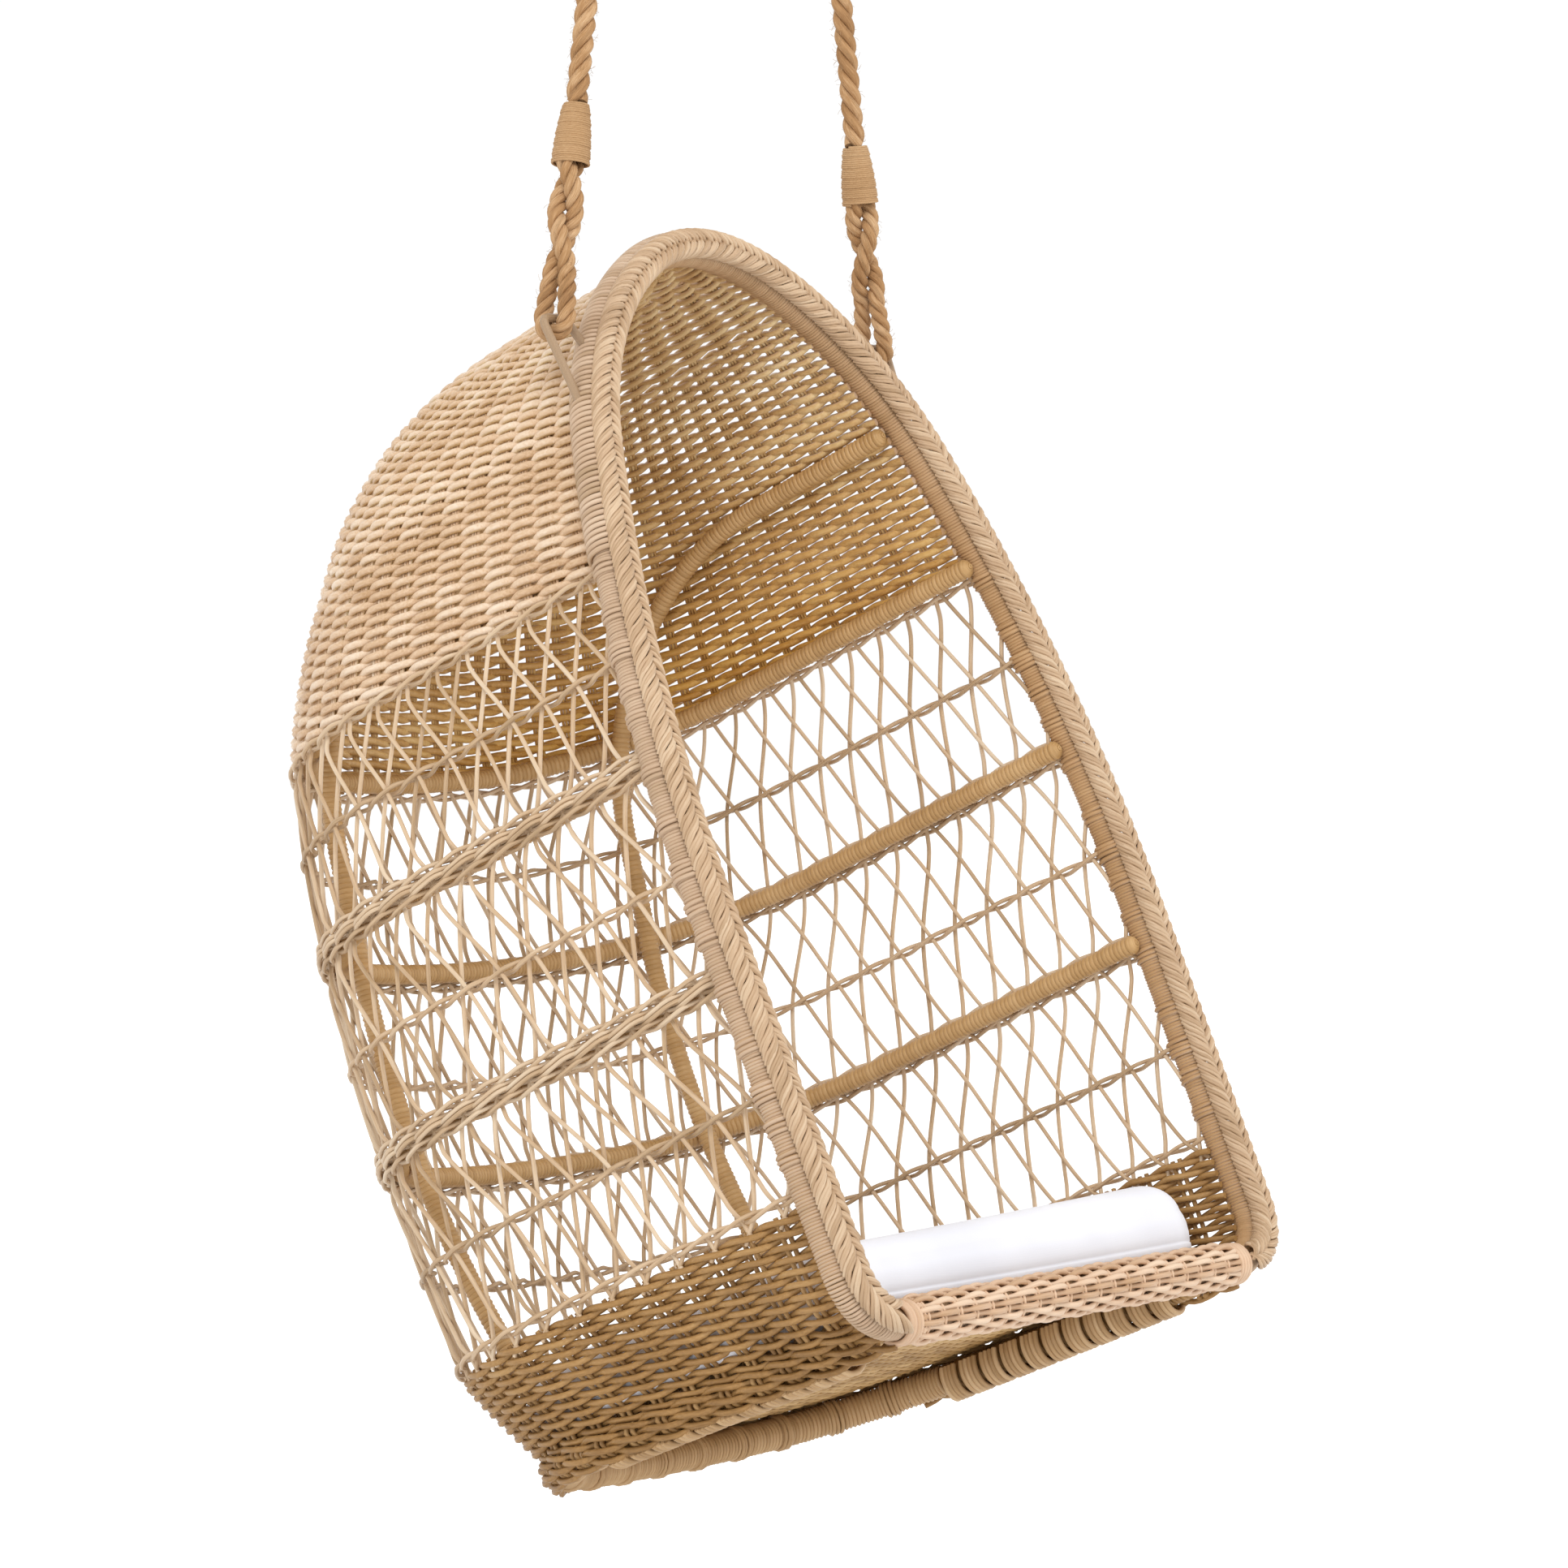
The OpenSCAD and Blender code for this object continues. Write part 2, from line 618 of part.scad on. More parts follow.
// Joins rows of points, outer and inner, into one wall; a lid closes it over the top row
module wall(outer, inner, lidded = false) {
    rows = len(outer);
    n = len(outer[0]);
    half = rows * n;
    pts = concat([for (row = outer) each row], [for (row = inner) each row]);
    skins = [
        for (j = [0 : rows - 2], i = [0 : n - 2])
            let (a = j * n + i, b = a + 1, c = a + n, d = c + 1)
            each [[a, b, d], [a, d, c], [a + half, d + half, b + half], [a + half, c + half, d + half]]
    ];
    top = (rows - 1) * n;
    foot = [for (i = [0 : n - 2]) each [[i, i + half, i + 1 + half], [i, i + 1 + half, i + 1]]];
    edge = [
        for (i = [top : top + n - 2]) each [[i, i + 1, i + 1 + half], [i, i + 1 + half, i + half]]
    ];
    right = top + n - 1;
    lid = concat(
        [[top + half, top, right], [top + half, right, right + half]],
        [for (i = [0 : (n - 3) / 2], h = [0, half])
            let (a = top + i + h, b = a + 1, c = right - i - 1 + h, d = right - i + h)
            each h == 0 ? (b == c ? [[a, b, d]] : [[a, b, c], [a, c, d]])
                        : (b == c ? [[a, d, b]] : [[a, c, b], [a, d, c]])]);
    fronts = [
        for (j = [0 : rows - 2])
            let (a = j * n, b = a + n, c = a + n - 1, d = c + n)
            each [[a, b, b + half], [a, b + half, a + half], [c, d + half, d], [c, c + half, d + half]]
    ];
    polyhedron(points = pts, faces = concat(skins, foot, lidded ? lid : edge, fronts), convexity = 10);
}

// One row of points round a plan, from its left front at depth y0 to its right front
function wall_row(p, z, y0, n) =
    let (l = half_len(p) - y0) [for (i = [-n : n]) let (q = plan_point(p, l * i / n)) [q[0], q[1], z]];

// The hood closes to a ridge at the top of the hoop
hood_levels = [0, 0.06, 0.13, 0.21, 0.3, 0.4, 0.5, 0.6, 0.7, 0.78, 0.85, 0.9, 0.94, 0.97, 0.99, 0.999];

// The wall's plan at height z, moved outward by off and less so towards the ridge
function hood_plan(z, off) =
    let (near_ridge = pow(hood_share(z), 3),
         w = max(0.4, half_width(z) + rail_inset * near_ridge * 0.72 + off * (1 - near_ridge)),
         d = max(hoop_r + 20, depth(z) + off))
    [w, d, min(rail_corner_r + off, 0.9 * w, 0.9 * d), back_r + off];
function thinned(p, t) =
    [max(0.3, p[0] - t), p[1] - t, max(0.2, min(p[2] - t, 0.9 * (p[0] - t))), p[3] - t];

module hood_weave() {
    y0 = hoop_r + gap + 0.1;
    rise = apex_z - hood_edge_z;
    heights = concat([hood_edge_z], [for (u = hood_levels) lerp(u, 0, 1, hood_rail_z, apex_z)]);
    color(pale_wicker)
        hung()
            wall([for (z = heights) wall_row(hood_plan(z, wall_out), z, y0, 12)],
                 [for (z = heights)
                     let (share = (z - hood_edge_z) / rise)
                     wall_row(thinned(hood_plan(z, wall_out), hood_weave_t),
                              z - hood_weave_t * share, y0, 12)],
                 lidded = true);
}

bottom_off = wall_out - base_draw - bottom_rail_r;
function bottom_z(y) = bottom_rail_z + y * tan(seat_tilt);

// Offset of the base wall's outer face at height z where its lower edge is at z_low
function base_off(z, z_low) = wall_out - base_draw * pow((base_top_z - z) / (base_top_z - z_low), 1.2);

// The base draws in towards the bottom rail, on which it stands
module base_weave() {
    y0 = hoop_r + gap + 0.1;
    function base_row(t, off) =
        [for (i = [-12 : 12])
            let (foot = bottom_z(plan_point(plan(0), half_len(plan(0)) * i / 12)[1]) + bottom_rail_r + gap,
                 z = lerp(t, 0, 1, foot, base_top_z - gap),
                 p = plan(z, base_off(z, foot) + off),
                 q = plan_point(p, (half_len(p) - y0) * i / 12))
            [q[0], q[1], z]];
    color(dark_wicker)
        hung()
            wall([for (t = [0 : 0.125 : 1]) base_row(t, 0)],
                 [for (t = [0 : 0.125 : 1]) base_row(t, -base_weave_t)]);
}

// ---- Seat ----

// Tilts what lies on the bottom rail
module on_seat() {
    hung() translate([0, 0, bottom_rail_z]) rotate([seat_tilt, 0, 0]) children();
}

module bottom_rail() {
    color(dark_wicker)
        on_seat()
            round_plan(plan(0, bottom_off), 0, roll_r + 2 * gap, round_profile(bottom_rail_r, 10));
}

// A woven panel from the front roll to the middle of the bottom rail
module seat_weave() {
    p = plan(0, bottom_off);
    l = half_len(p) - roll_r - 2 * gap;
    color(dark_wicker)
        on_seat()
            translate([0, 0, bottom_rail_r + gap])
                linear_extrude(seat_t)
                    polygon([for (i = [-20 : 20]) plan_point(p, l * i / 20)]);
}

wrap_pitch = 1.9 * roll_wrap_r;
wrap_len = wrap_pitch * (roll_wrap_turns - 1) + 2 * roll_wrap_r;
roll_half = foot_run - wrap_len - 2 * gap;

// A woven sleeve round the hoop's bottom straight
module front_roll() {
    color(pale_wicker)
        hung()
            translate([-roll_half, 0, 0])
                rotate([0, 90, 0])
                    difference() {
                        cylinder(h = 2 * roll_half, r = roll_r);
                        translate([0, 0, -1]) cylinder(h = 2 * roll_half + 2, r = hoop_r + gap);
                    }
}

// Turns of strand wound round the hoop at one end of the roll
module roll_wrap(side) {
    color(pale_wicker)
        hung()
            on_side(side)
                translate([-roll_half - gap - roll_wrap_r, 0, 0])
                    rotate([0, -90, 0])
                        rotate_extrude($fn = 64)
                            for (i = [0 : roll_wrap_turns - 1])
                                translate([hoop_r + gap + roll_wrap_r, i * wrap_pitch])
                                    circle(roll_wrap_r, $fn = 24);
}

// ---- Seat cushion: a soft pad with a crown, round edges and slightly drawn-in sides ----

cushion_front = 34;
cushion_off = -23;
cushion_back_round = 30;
side_draw = 5;
low_taper = 9;

// One closed row of points round the cushion, drawn in by inset, at height z
function cushion_row(inset, z) =
    let (w0 = plan(60, cushion_off)[0],
         p = [w0 - inset, base_depth + cushion_off - inset,
              max(30, rail_corner_r + cushion_off + cushion_back_round - inset), back_r],
         front = cushion_front + inset,
         rc = max(8, cushion_corner_r - inset / 2),
         l = half_len(p) - front - rc)
    concat(
        [for (i = [-15 : 15])
            let (q = plan_point(p, l * i / 15), s = abs(i) / 15,
                 pull = side_draw * pow(sin(180 * max(0, min(1, (s - 0.45) / 0.55))), 2))
            [q[0] - sign(q[0]) * pull, q[1], z]],
        [for (a = [15 : 15 : 90]) [p[0] - rc + rc * cos(a), front + rc - rc * sin(a), z]],
        [for (i = [1 : 5]) let (x = (p[0] - rc) * (1 - i / 3)) [x, front + side_draw * cos(90 * x / p[0]), z]],
        [for (a = [90 : -15 : 15]) [-p[0] + rc - rc * cos(a), front + rc - rc * sin(a), z]]);

module seat_cushion() {
    r = cushion_t / 2;
    low = [for (a = [270 : 20 : 350]) [r * (1 - cos(a)) - low_taper * sin(a), r + r * sin(a)]];
    high = [for (a = [10 : 20 : 90]) [r * (1 - cos(a)), r + r * sin(a)]];
    crown_rows = [for (t = [0.25 : 0.25 : 1]) [r + 130 * t, cushion_t + cushion_crown * sin(90 * t)]];
    profile = concat([[r + 110, 0], [r + 50, 0]], low, high, crown_rows);
    rows = [for (e = profile) cushion_row(e[0], e[1])];
    n = len(rows[0]);
    m = len(rows);
    middle = [0, 0.5 * base_depth];
    pts = concat([for (row = rows) each row],
        [[middle[0], middle[1], 0], [middle[0], middle[1], cushion_t + cushion_crown]]);
    skin = [
        for (j = [0 : m - 2], i = [0 : n - 1])
            let (a = j * n + i, b = j * n + (i + 1) % n)
            each [[a, b, b + n], [a, b + n, a + n]]
    ];
    caps = [
        for (i = [0 : n - 1])
            each [[m * n, (i + 1) % n, i],
                  [m * n + 1, (m - 1) * n + i, (m - 1) * n + (i + 1) % n]]
    ];
    color(cushion_white)
        on_seat()
            translate([0, 0, bottom_rail_r + seat_t + 2 * gap])
                polyhedron(points = pts, faces = concat(skin, caps), convexity = 4);
}

ceiling_bracket(-1);  // ceiling_bracket_left
ceiling_bracket(1);  // ceiling_bracket_right
bracket_pin(-1);  // bracket_pin_left
bracket_pin(1);  // bracket_pin_right
rope(-1);  // rope_left
rope(1);  // rope_right
upper_eye(-1);  // upper_eye_left
upper_eye(1);  // upper_eye_right
upper_whipping(-1);  // upper_whipping_left
upper_whipping(1);  // upper_whipping_right
lower_whipping(-1);  // lower_whipping_left
lower_whipping(1);  // lower_whipping_right
lower_eye(-1);  // lower_eye_left
lower_eye(1);  // lower_eye_right
front_hoop();
braided_rim();
hanger_bail(-1);  // hanger_bail_left
hanger_bail(1);  // hanger_bail_right
side_tube(-1);  // side_tube_left
side_tube(1);  // side_tube_right
rail(hood_rail_z);  // hood_rail
rail(upper_rail_z);  // upper_rail
rail(lower_rail_z);  // lower_rail
twined_row(zones[0], zones[0][1] - row_r);  // hood_edge_row
rail_band(upper_rail_z);  // upper_rail_band
rail_band(lower_rail_z);  // lower_rail_band
twined_row(zones[2], zones[2][0] + row_r);  // base_edge_row
twined_row(zones[0], top_row_z);  // twined_row_top
twined_row(zones[1], middle_row_z);  // twined_row_middle
twined_row(zones[2], bottom_row_z);  // twined_row_bottom
lattice(zones[0]);  // lattice_top
lattice(zones[1]);  // lattice_middle
lattice(zones[2]);  // lattice_bottom
hood_weave();
base_weave();
bottom_rail();
front_roll();
roll_wrap(-1);  // roll_wrap_left
roll_wrap(1);  // roll_wrap_right
seat_weave();
seat_cushion();
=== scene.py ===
import math

import bpy
import numpy as np
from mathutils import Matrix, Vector


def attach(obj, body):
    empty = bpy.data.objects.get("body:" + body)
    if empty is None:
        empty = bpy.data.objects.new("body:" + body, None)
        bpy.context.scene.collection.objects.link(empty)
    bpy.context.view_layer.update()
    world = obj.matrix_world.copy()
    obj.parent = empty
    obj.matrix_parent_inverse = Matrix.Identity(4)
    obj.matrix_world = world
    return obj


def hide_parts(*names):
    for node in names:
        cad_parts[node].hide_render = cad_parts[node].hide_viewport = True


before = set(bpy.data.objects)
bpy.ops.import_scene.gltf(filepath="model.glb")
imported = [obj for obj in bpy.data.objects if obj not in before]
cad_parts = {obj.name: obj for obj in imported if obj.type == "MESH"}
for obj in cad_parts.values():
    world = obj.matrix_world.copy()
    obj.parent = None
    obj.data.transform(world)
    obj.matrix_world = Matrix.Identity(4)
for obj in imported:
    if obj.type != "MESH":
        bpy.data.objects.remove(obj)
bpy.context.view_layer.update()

# ---- Camera and studio ----
# A long lens looks almost level at the near side of the chair. Large soft lamps and a
# white room light it evenly, over a pale grey floor far below whose glow, painted light, grows further out.


def shown(name, data):
    """A new object in the scene that shows data."""
    thing = bpy.data.objects.new(name, data)
    bpy.context.scene.collection.objects.link(thing)
    return thing


camera = shown("camera", bpy.data.cameras.new("camera"))
camera.data.sensor_width = 36
camera.data.lens = 120.48
camera.data.clip_end = 100
camera.location = (-3.8700, -2.7936, -0.7769)
camera.rotation_euler = Vector((-0.8176, -0.5754, 0.0171)).to_track_quat("Z", "Y").to_euler()
bpy.context.scene.camera = camera
bpy.context.scene.view_settings.view_transform = "Standard"

room = bpy.data.worlds.new("room")
room.use_nodes = True
air = room.node_tree.nodes["Background"].inputs
air["Color"].default_value = (1, 1, 1, 1)
air["Strength"].default_value = 1.02
bpy.context.scene.world = room


def hang_lamp(name, place, target, size, power):
    lamp = bpy.data.lights.new(name, "AREA")
    lamp.shape, lamp.size, lamp.energy = "DISK", size, power
    holder = shown(name, lamp)
    holder.location = place
    holder.rotation_euler = (Vector(place) - Vector(target)).to_track_quat("Z", "Y").to_euler()


def feed(tree, sockets, inputs):
    """Sets each named socket to a plain value, or links it to another node's output."""
    for key, value in inputs.items():
        if isinstance(value, bpy.types.NodeSocket):
            tree.links.new(value, sockets[key])
        else:
            sockets[key].default_value = value


def put(tree, kind, inputs=None, **settings):
    """Adds a node with its settings and inputs, and gives back its outputs."""
    node = tree.nodes.new(kind)
    for key, value in settings.items():
        setattr(node, key, value)
    feed(tree, node.inputs, inputs or {})
    return node.outputs


def new_finish(name):
    """A new material, its node tree and the inputs of its surface."""
    finish = bpy.data.materials.new(name)
    finish.use_nodes = True
    return finish, finish.node_tree, finish.node_tree.nodes["Principled BSDF"].inputs


CHAIR_MIDDLE = (0, 0, -0.9)
hang_lamp("key_lamp", (-2.6, -1.6, 1.6), CHAIR_MIDDLE, 1.6, 55)
hang_lamp("front_lamp", (1.6, -3.2, 0.4), CHAIR_MIDDLE, 1.6, 20)

FLOOR_HALF, FLOOR_Z = 40, -2.1
floor_corners = [(x * FLOOR_HALF, y * FLOOR_HALF, FLOOR_Z) for x, y in ((-1, -1), (1, -1), (1, 1), (-1, 1))]
floor_mesh = bpy.data.meshes.new("floor")
floor_mesh.from_pydata(floor_corners, [], [(0, 1, 2, 3)])
floor = shown("floor", floor_mesh)
floor_paint, tree, skin = new_finish("floor_paint")
place = put(tree, "ShaderNodeTexCoord")["Object"]
far = put(tree, "ShaderNodeVectorMath", {0: place}, operation="LENGTH")["Value"]
# Painted light: the floor's glow grows with distance from the hanging point, faint under the chair and up
# to 0.6 further out, so the far floor shows white.
glow = put(tree, "ShaderNodeMapRange", {"Value": far, "From Min": 1.8, "From Max": 2.9, "To Max": 0.6})
feed(tree, skin, {"Base Color": (0.6, 0.6, 0.6, 1), "Roughness": 0.8, "Emission Color": (1, 1, 1, 1),
                  "Emission Strength": glow["Result"]})
floor_mesh.materials.append(floor_paint)

# ---- Ropes ----
# Two natural fibre ropes, each laid from three strands. At both ends a rope is turned
# back into an eye, and its tail is twisted round it and bound down by a whipping.
ROPE_LEAN = math.radians(9.4)
ROPE_D, EYE_D = 0.020, 0.017
BAIL_X, BAIL_Z, PIN_OVER_BAIL = 0.247, -0.450, 0.422
ROPE_LEN = PIN_OVER_BAIL / math.cos(ROPE_LEAN)
WHIP_LOW, WHIP_LOW_TOP, WHIP_HIGH, WHIP_HIGH_TOP = 0.136, 0.192, 0.340, 0.366
WHIP_WIDE, WHIP_NARROW, TWINE_R = 0.0172, 0.0120, 0.00125
ROPE_LAY, EYE_LAY, YARN_TONES = 0.050, 0.038, (0.42, 0.55, 0.68)
SIDES = ((-1, "left"), (1, "right"))
PULL_GAP, STEP, HAIR_R = 0.0003, 0.0025, 0.00013
dice = np.random.default_rng(7)


def tipped(points, angle):
    """Points turned about the X axis, tops to the back by angle."""
    x, y, z = np.moveaxis(np.asarray(points, float), -1, 0)
    c, s = math.cos(angle), math.sin(angle)
    return np.stack([x, y * c + z * s, z * c - y * s], -1)


def at_rope(points, side):
    """Moves points from the hanging point's frame, +Z up the rope, to the row frame."""
    y, x, z = tipped(np.asarray(points)[:, (1, 0, 2)], ROPE_LEAN).T
    return np.stack([side * (BAIL_X - x), y, z + BAIL_Z], 1)


def unit(v):
    return v / (np.linalg.norm(v, axis=-1, keepdims=True) + 1e-12)


def tangents(line):
    return unit(np.gradient(line, axis=0))


def steady_frames(line):
    """Two crosswise directions along a line that don't spin round it."""
    t = tangents(line)
    sides = [unit(np.cross(t[0], (0.3, 1, 0.2)))]
    for ahead in t[1:]:
        sides.append(unit(sides[-1] - ahead * np.dot(sides[-1], ahead)))
    sides = np.array(sides)
    return sides, np.cross(t, sides)


def run_along(line):
    """The distance from the start of a line to each of its points."""
    return np.concatenate([[0], np.cumsum(np.linalg.norm(np.diff(line, axis=0), axis=1))])


def spaced(line, step):
    """The same line with points at an even distance."""
    line = np.asarray(line, float)
    run = run_along(line)
    want = np.linspace(0, run[-1], max(2, int(round(run[-1] / step)) + 1))
    return np.stack([np.interp(want, run, line[:, k]) for k in range(3)], 1)


def laid(line, radius, lay, count=3):
    """Strands of a laid rope round a line: count helices that touch each other."""
    sin = math.sin(math.pi / count)
    core = radius / (1 + sin)
    a, b = steady_frames(line)
    run = run_along(line)
    out = []
    for k in range(count):
        turn = math.tau * (run / lay + k / count)
        out.append(line + core * (np.cos(turn)[:, None] * a + np.sin(turn)[:, None] * b))
    return out, core * sin


def new_tree(name, inputs):
    tree = bpy.data.node_groups.new(name, "GeometryNodeTree")
    for label, kind in inputs.items():
        tree.interface.new_socket(label, in_out="INPUT", socket_type=f"NodeSocket{kind}")
    tree.interface.new_socket("Result", in_out="OUTPUT", socket_type="NodeSocketGeometry")
    return tree, tree.nodes.new("NodeGroupInput").outputs, tree.nodes.new("NodeGroupOutput").inputs


def captured(tree, label, curve, measure):
    """Keeps each point's place along a curve, under that label, for the swept mesh."""
    keep = tree.nodes.new("GeometryNodeCaptureAttribute")
    keep.capture_items.new("FLOAT", label)
    feed(tree, keep.inputs, {"Geometry": curve, label: put(tree, "GeometryNodeSplineParameter")[measure]})
    return keep.outputs


def ring(tree, sides, radius):
    return put(tree, "GeometryNodeCurvePrimitiveCircle", {"Resolution": sides, "Radius": radius})["Curve"]


def attribute(tree, name, kind="FLOAT"):
    return put(tree, "GeometryNodeInputNamedAttribute", {"Name": name}, data_type=kind)["Attribute"]


def swept(tree, given, curve, sides, tone=0.0, caps=False):
    """A round strand along a curve, which keeps its length, its rounds and its tone as grain."""
    around = captured(tree, "Around", ring(tree, given[sides], given["Strand radius"]), "Factor")
    along = captured(tree, "Along", curve, "Length")
    strand = put(tree, "GeometryNodeCurveToMesh",
                 {"Curve": along["Geometry"], "Profile Curve": around["Geometry"], "Fill Caps": caps})
    grain = put(tree, "ShaderNodeCombineXYZ", {"X": along["Along"], "Y": around["Around"], "Z": tone})
    return put(tree, "GeometryNodeStoreNamedAttribute",
               {"Geometry": strand["Mesh"], "Name": "grain", "Value": grain["Vector"]},
               data_type="FLOAT_VECTOR")["Geometry"]


def finish_strands(tree, shape, given, result):
    real = put(tree, "GeometryNodeRealizeInstances", {"Geometry": shape})
    smooth = put(tree, "GeometryNodeSetShadeSmooth", {"Geometry": real["Geometry"]})
    coat = put(tree, "GeometryNodeSetMaterial",
               {"Geometry": smooth["Geometry"], "Material": given["Finish"]})
    feed(tree, result, {"Result": coat["Geometry"]})


def strand_tree():
    """Turns each drawn line into a round strand."""
    tree, given, result = new_tree("strands_from_lines", {
        "Lines": "Geometry", "Strand radius": "Float", "Sides": "Int", "Finish": "Material"})
    curve = put(tree, "GeometryNodeMeshToCurve", {"Mesh": given["Lines"]})["Curve"]
    curve = put(tree, "GeometryNodeSetCurveRadius", {"Curve": curve, "Radius": 1.0})["Curve"]
    finish_strands(tree, swept(tree, given, curve, "Sides", attribute(tree, "tone"), True), given, result)
    return tree


def grown(name, mesh, tree, **inputs):
    """A plain mesh that the tree grows from mesh, with the tree's inputs set by name."""
    seed = shown(name, mesh)
    maker = seed.modifiers.new("maker", "NODES")
    maker.node_group = tree
    for item in tree.interface.items_tree:
        label = item.name.lower().replace(" ", "_")
        if item.in_out == "INPUT" and label in inputs:
            maker[item.identifier] = inputs[label]
    made = bpy.data.meshes.new_from_object(seed.evaluated_get(bpy.context.evaluated_depsgraph_get()))
    seed.modifiers.remove(maker)
    seed.data = made
    made.name = name
    return seed


STRANDS = strand_tree()


def strands(name, lines, radius, finish, sides=6, tones=None):
    """Round strands along lines, in tones drawn by lot where none are given."""
    points, edges, tone = [], [], []
    for i, line in enumerate(lines):
        first = len(points)
        points.extend(map(tuple, line))
        edges.extend((first + k, first + k + 1) for k in range(len(line) - 1))
        tone.extend(np.broadcast_to(dice.random() if tones is None else tones[i], len(line)).tolist())
    mesh = bpy.data.meshes.new(name)
    mesh.from_pydata(points, edges, [])
    mesh.attributes.new("tone", "FLOAT", "POINT").data.foreach_set("value", tone)
    return grown(name, mesh, STRANDS, strand_radius=radius, sides=sides, finish=finish)


def shade(code):
    """A linear colour from its display hex code."""
    c = [int(code[i:i + 2], 16) / 255 for i in (0, 2, 4)]
    return tuple(v / 12.92 if v <= 0.04045 else ((v + 0.055) / 1.055) ** 2.4 for v in c)


def ramp(tree, share, first, last, ends=(0, 1), middle=None):
    """A blend from the first colour to the last while share goes from one end to the other."""
    node = tree.nodes.new("ShaderNodeValToRGB")
    for stop, place, colour in zip(node.color_ramp.elements, ends, (first, last)):
        stop.position, stop.color = place, (*colour, 1)
    if middle:
        node.color_ramp.elements.new(0.5).color = (*middle, 1)
    tree.links.new(share, node.inputs["Fac"])
    return node.outputs["Color"]


def scaled(tree, value, factor, extra):
    """Value times factor, plus extra."""
    return put(tree, "ShaderNodeMath", {0: value, 1: factor, 2: extra}, operation="MULTIPLY_ADD")["Value"]


def noise(tree, spot, size, detail):
    return put(tree, "ShaderNodeTexNoise", {"Vector": spot, "Scale": size, "Detail": detail})["Fac"]


def bumped(tree, height, strength, distance, **under):
    inputs = {"Height": height, "Strength": strength, "Distance": distance, **under}
    return put(tree, "ShaderNodeBump", inputs)["Normal"]


SHELL_MIDDLE = (0, 0.05, -0.83)


def with_painted_inner_shade(tree, colour, place, low, high):
    """The colour, darkened by a painted shade tint on faces turned towards the middle of the shell. The
    tint goes from low, darkest at the foot and far side, to high, at the top and near side, where light
    falls."""
    away = put(tree, "ShaderNodeVectorMath", {0: place["Object"], 1: SHELL_MIDDLE}, operation="SUBTRACT")
    ray = put(tree, "ShaderNodeVectorMath", {0: away["Vector"]}, operation="NORMALIZE")
    facing = put(tree, "ShaderNodeVectorMath", {0: ray["Vector"], 1: place["Normal"]},
                 operation="DOT_PRODUCT")["Value"]
    inward = put(tree, "ShaderNodeMapRange", {"Value": facing, "From Min": 0.25, "From Max": -0.25})
    spot = put(tree, "ShaderNodeSeparateXYZ", {"Vector": place["Object"]})
    # Painted shade follows the light: it eases towards the top and the near side, where the key lamp falls.
    lit = scaled(tree, spot["X"], -0.9, spot["Z"])
    raised = put(tree, "ShaderNodeMapRange", {"Value": lit, "From Min": -1.0, "From Max": -0.62})
    tint = ramp(tree, raised["Result"], low, high)
    return put(tree, "ShaderNodeMix", {0: inward["Result"], 6: colour, 7: tint},
               data_type="RGBA", blend_type="MULTIPLY")[2]


def strand_finish(name, colours, roughness, streak, bump, rounds=9.0, inner_shade=None):
    """A fibre finish from a dark, a middle and a light colour code: each strand has its own
    tone, with streaks along its grain. Two inner shade colours darken the faces inside the shell as painted
    shade."""
    finish, tree, skin = new_finish(name)
    dark, middle, light = map(shade, colours.split())
    tone = put(tree, "ShaderNodeAttribute", attribute_name="tone")["Fac"]
    grain = put(tree, "ShaderNodeAttribute", attribute_name="grain")["Vector"]
    place = put(tree, "ShaderNodeTexCoord")
    drawn_out = put(tree, "ShaderNodeMapping", {"Vector": grain, "Scale": (streak, rounds, 37.0)})["Vector"]
    fibre = noise(tree, drawn_out, 1.0, 3.0)
    cloud = scaled(tree, noise(tree, place["Object"], 14.0, 2.0), 0.5, -0.25)
    share = scaled(tree, fibre, 0.55, scaled(tree, tone, 0.45, cloud))
    colour = ramp(tree, share, dark, light, (0.12, 0.88), middle)
    if inner_shade:
        colour = with_painted_inner_shade(tree, colour, place, *inner_shade)
    feed(tree, skin, {"Base Color": colour, "Normal": bumped(tree, fibre, bump, 0.0004),
                      "Roughness": roughness, "Specular IOR Level": 0.35})
    return finish


rope_fibre = strand_finish("rope_fibre", "65401f a57d53 ddbd96", 0.8, 110, 1.0, 31.0)
whipping_twine = strand_finish("whipping_twine", "8f6b42 b28e66 ccae87", 0.8, 300, 0.8)


def eye_line(bar_radius, top, turns):
    """One leg up, round the bar and back, with both legs twisted together above the fork."""
    slack, pressed, fork = 0.0006, 0.0008, 0.046
    loop = bar_radius + slack + EYE_D / 2
    half = EYE_D / 2 - pressed
    arc = [(0, loop * math.cos(a), loop * math.sin(a)) for a in np.radians(np.arange(180, 361, 10))]
    neck = loop + (half - loop) * 2 / 3
    twist = [(half * math.sin(math.tau * turns * u), half * math.cos(math.tau * turns * u),
              fork + (top - fork) * u) for u in np.linspace(0, 1, 40)]
    leg = [(-x, -y, z) for x, y, z in reversed(twist)] + [(0, -neck, fork * 2 / 3)]
    return spaced(leg + arc + [(0, neck, fork * 2 / 3)] + twist, STEP)


def fuzz(name, line, diameter, count, reach):
    """Loose fibre ends that stand off a rope."""
    a, b = steady_frames(line)
    t = tangents(line)
    hairs = []
    for _ in range(count):
        i, turn = dice.integers(1, len(line) - 1), dice.random() * math.tau
        out = math.cos(turn) * a[i] + math.sin(turn) * b[i]
        lean, far = dice.uniform(-1, 1), dice.uniform(0.4, 1) * reach
        hairs.append([line[i] + out * (diameter * 0.45 + far * u) + t[i] * far * lean * u * u * 1.5
                      for u in (0, 0.35, 0.7, 1)])
    return strands(name, hairs, HAIR_R, whipping_twine, 3)


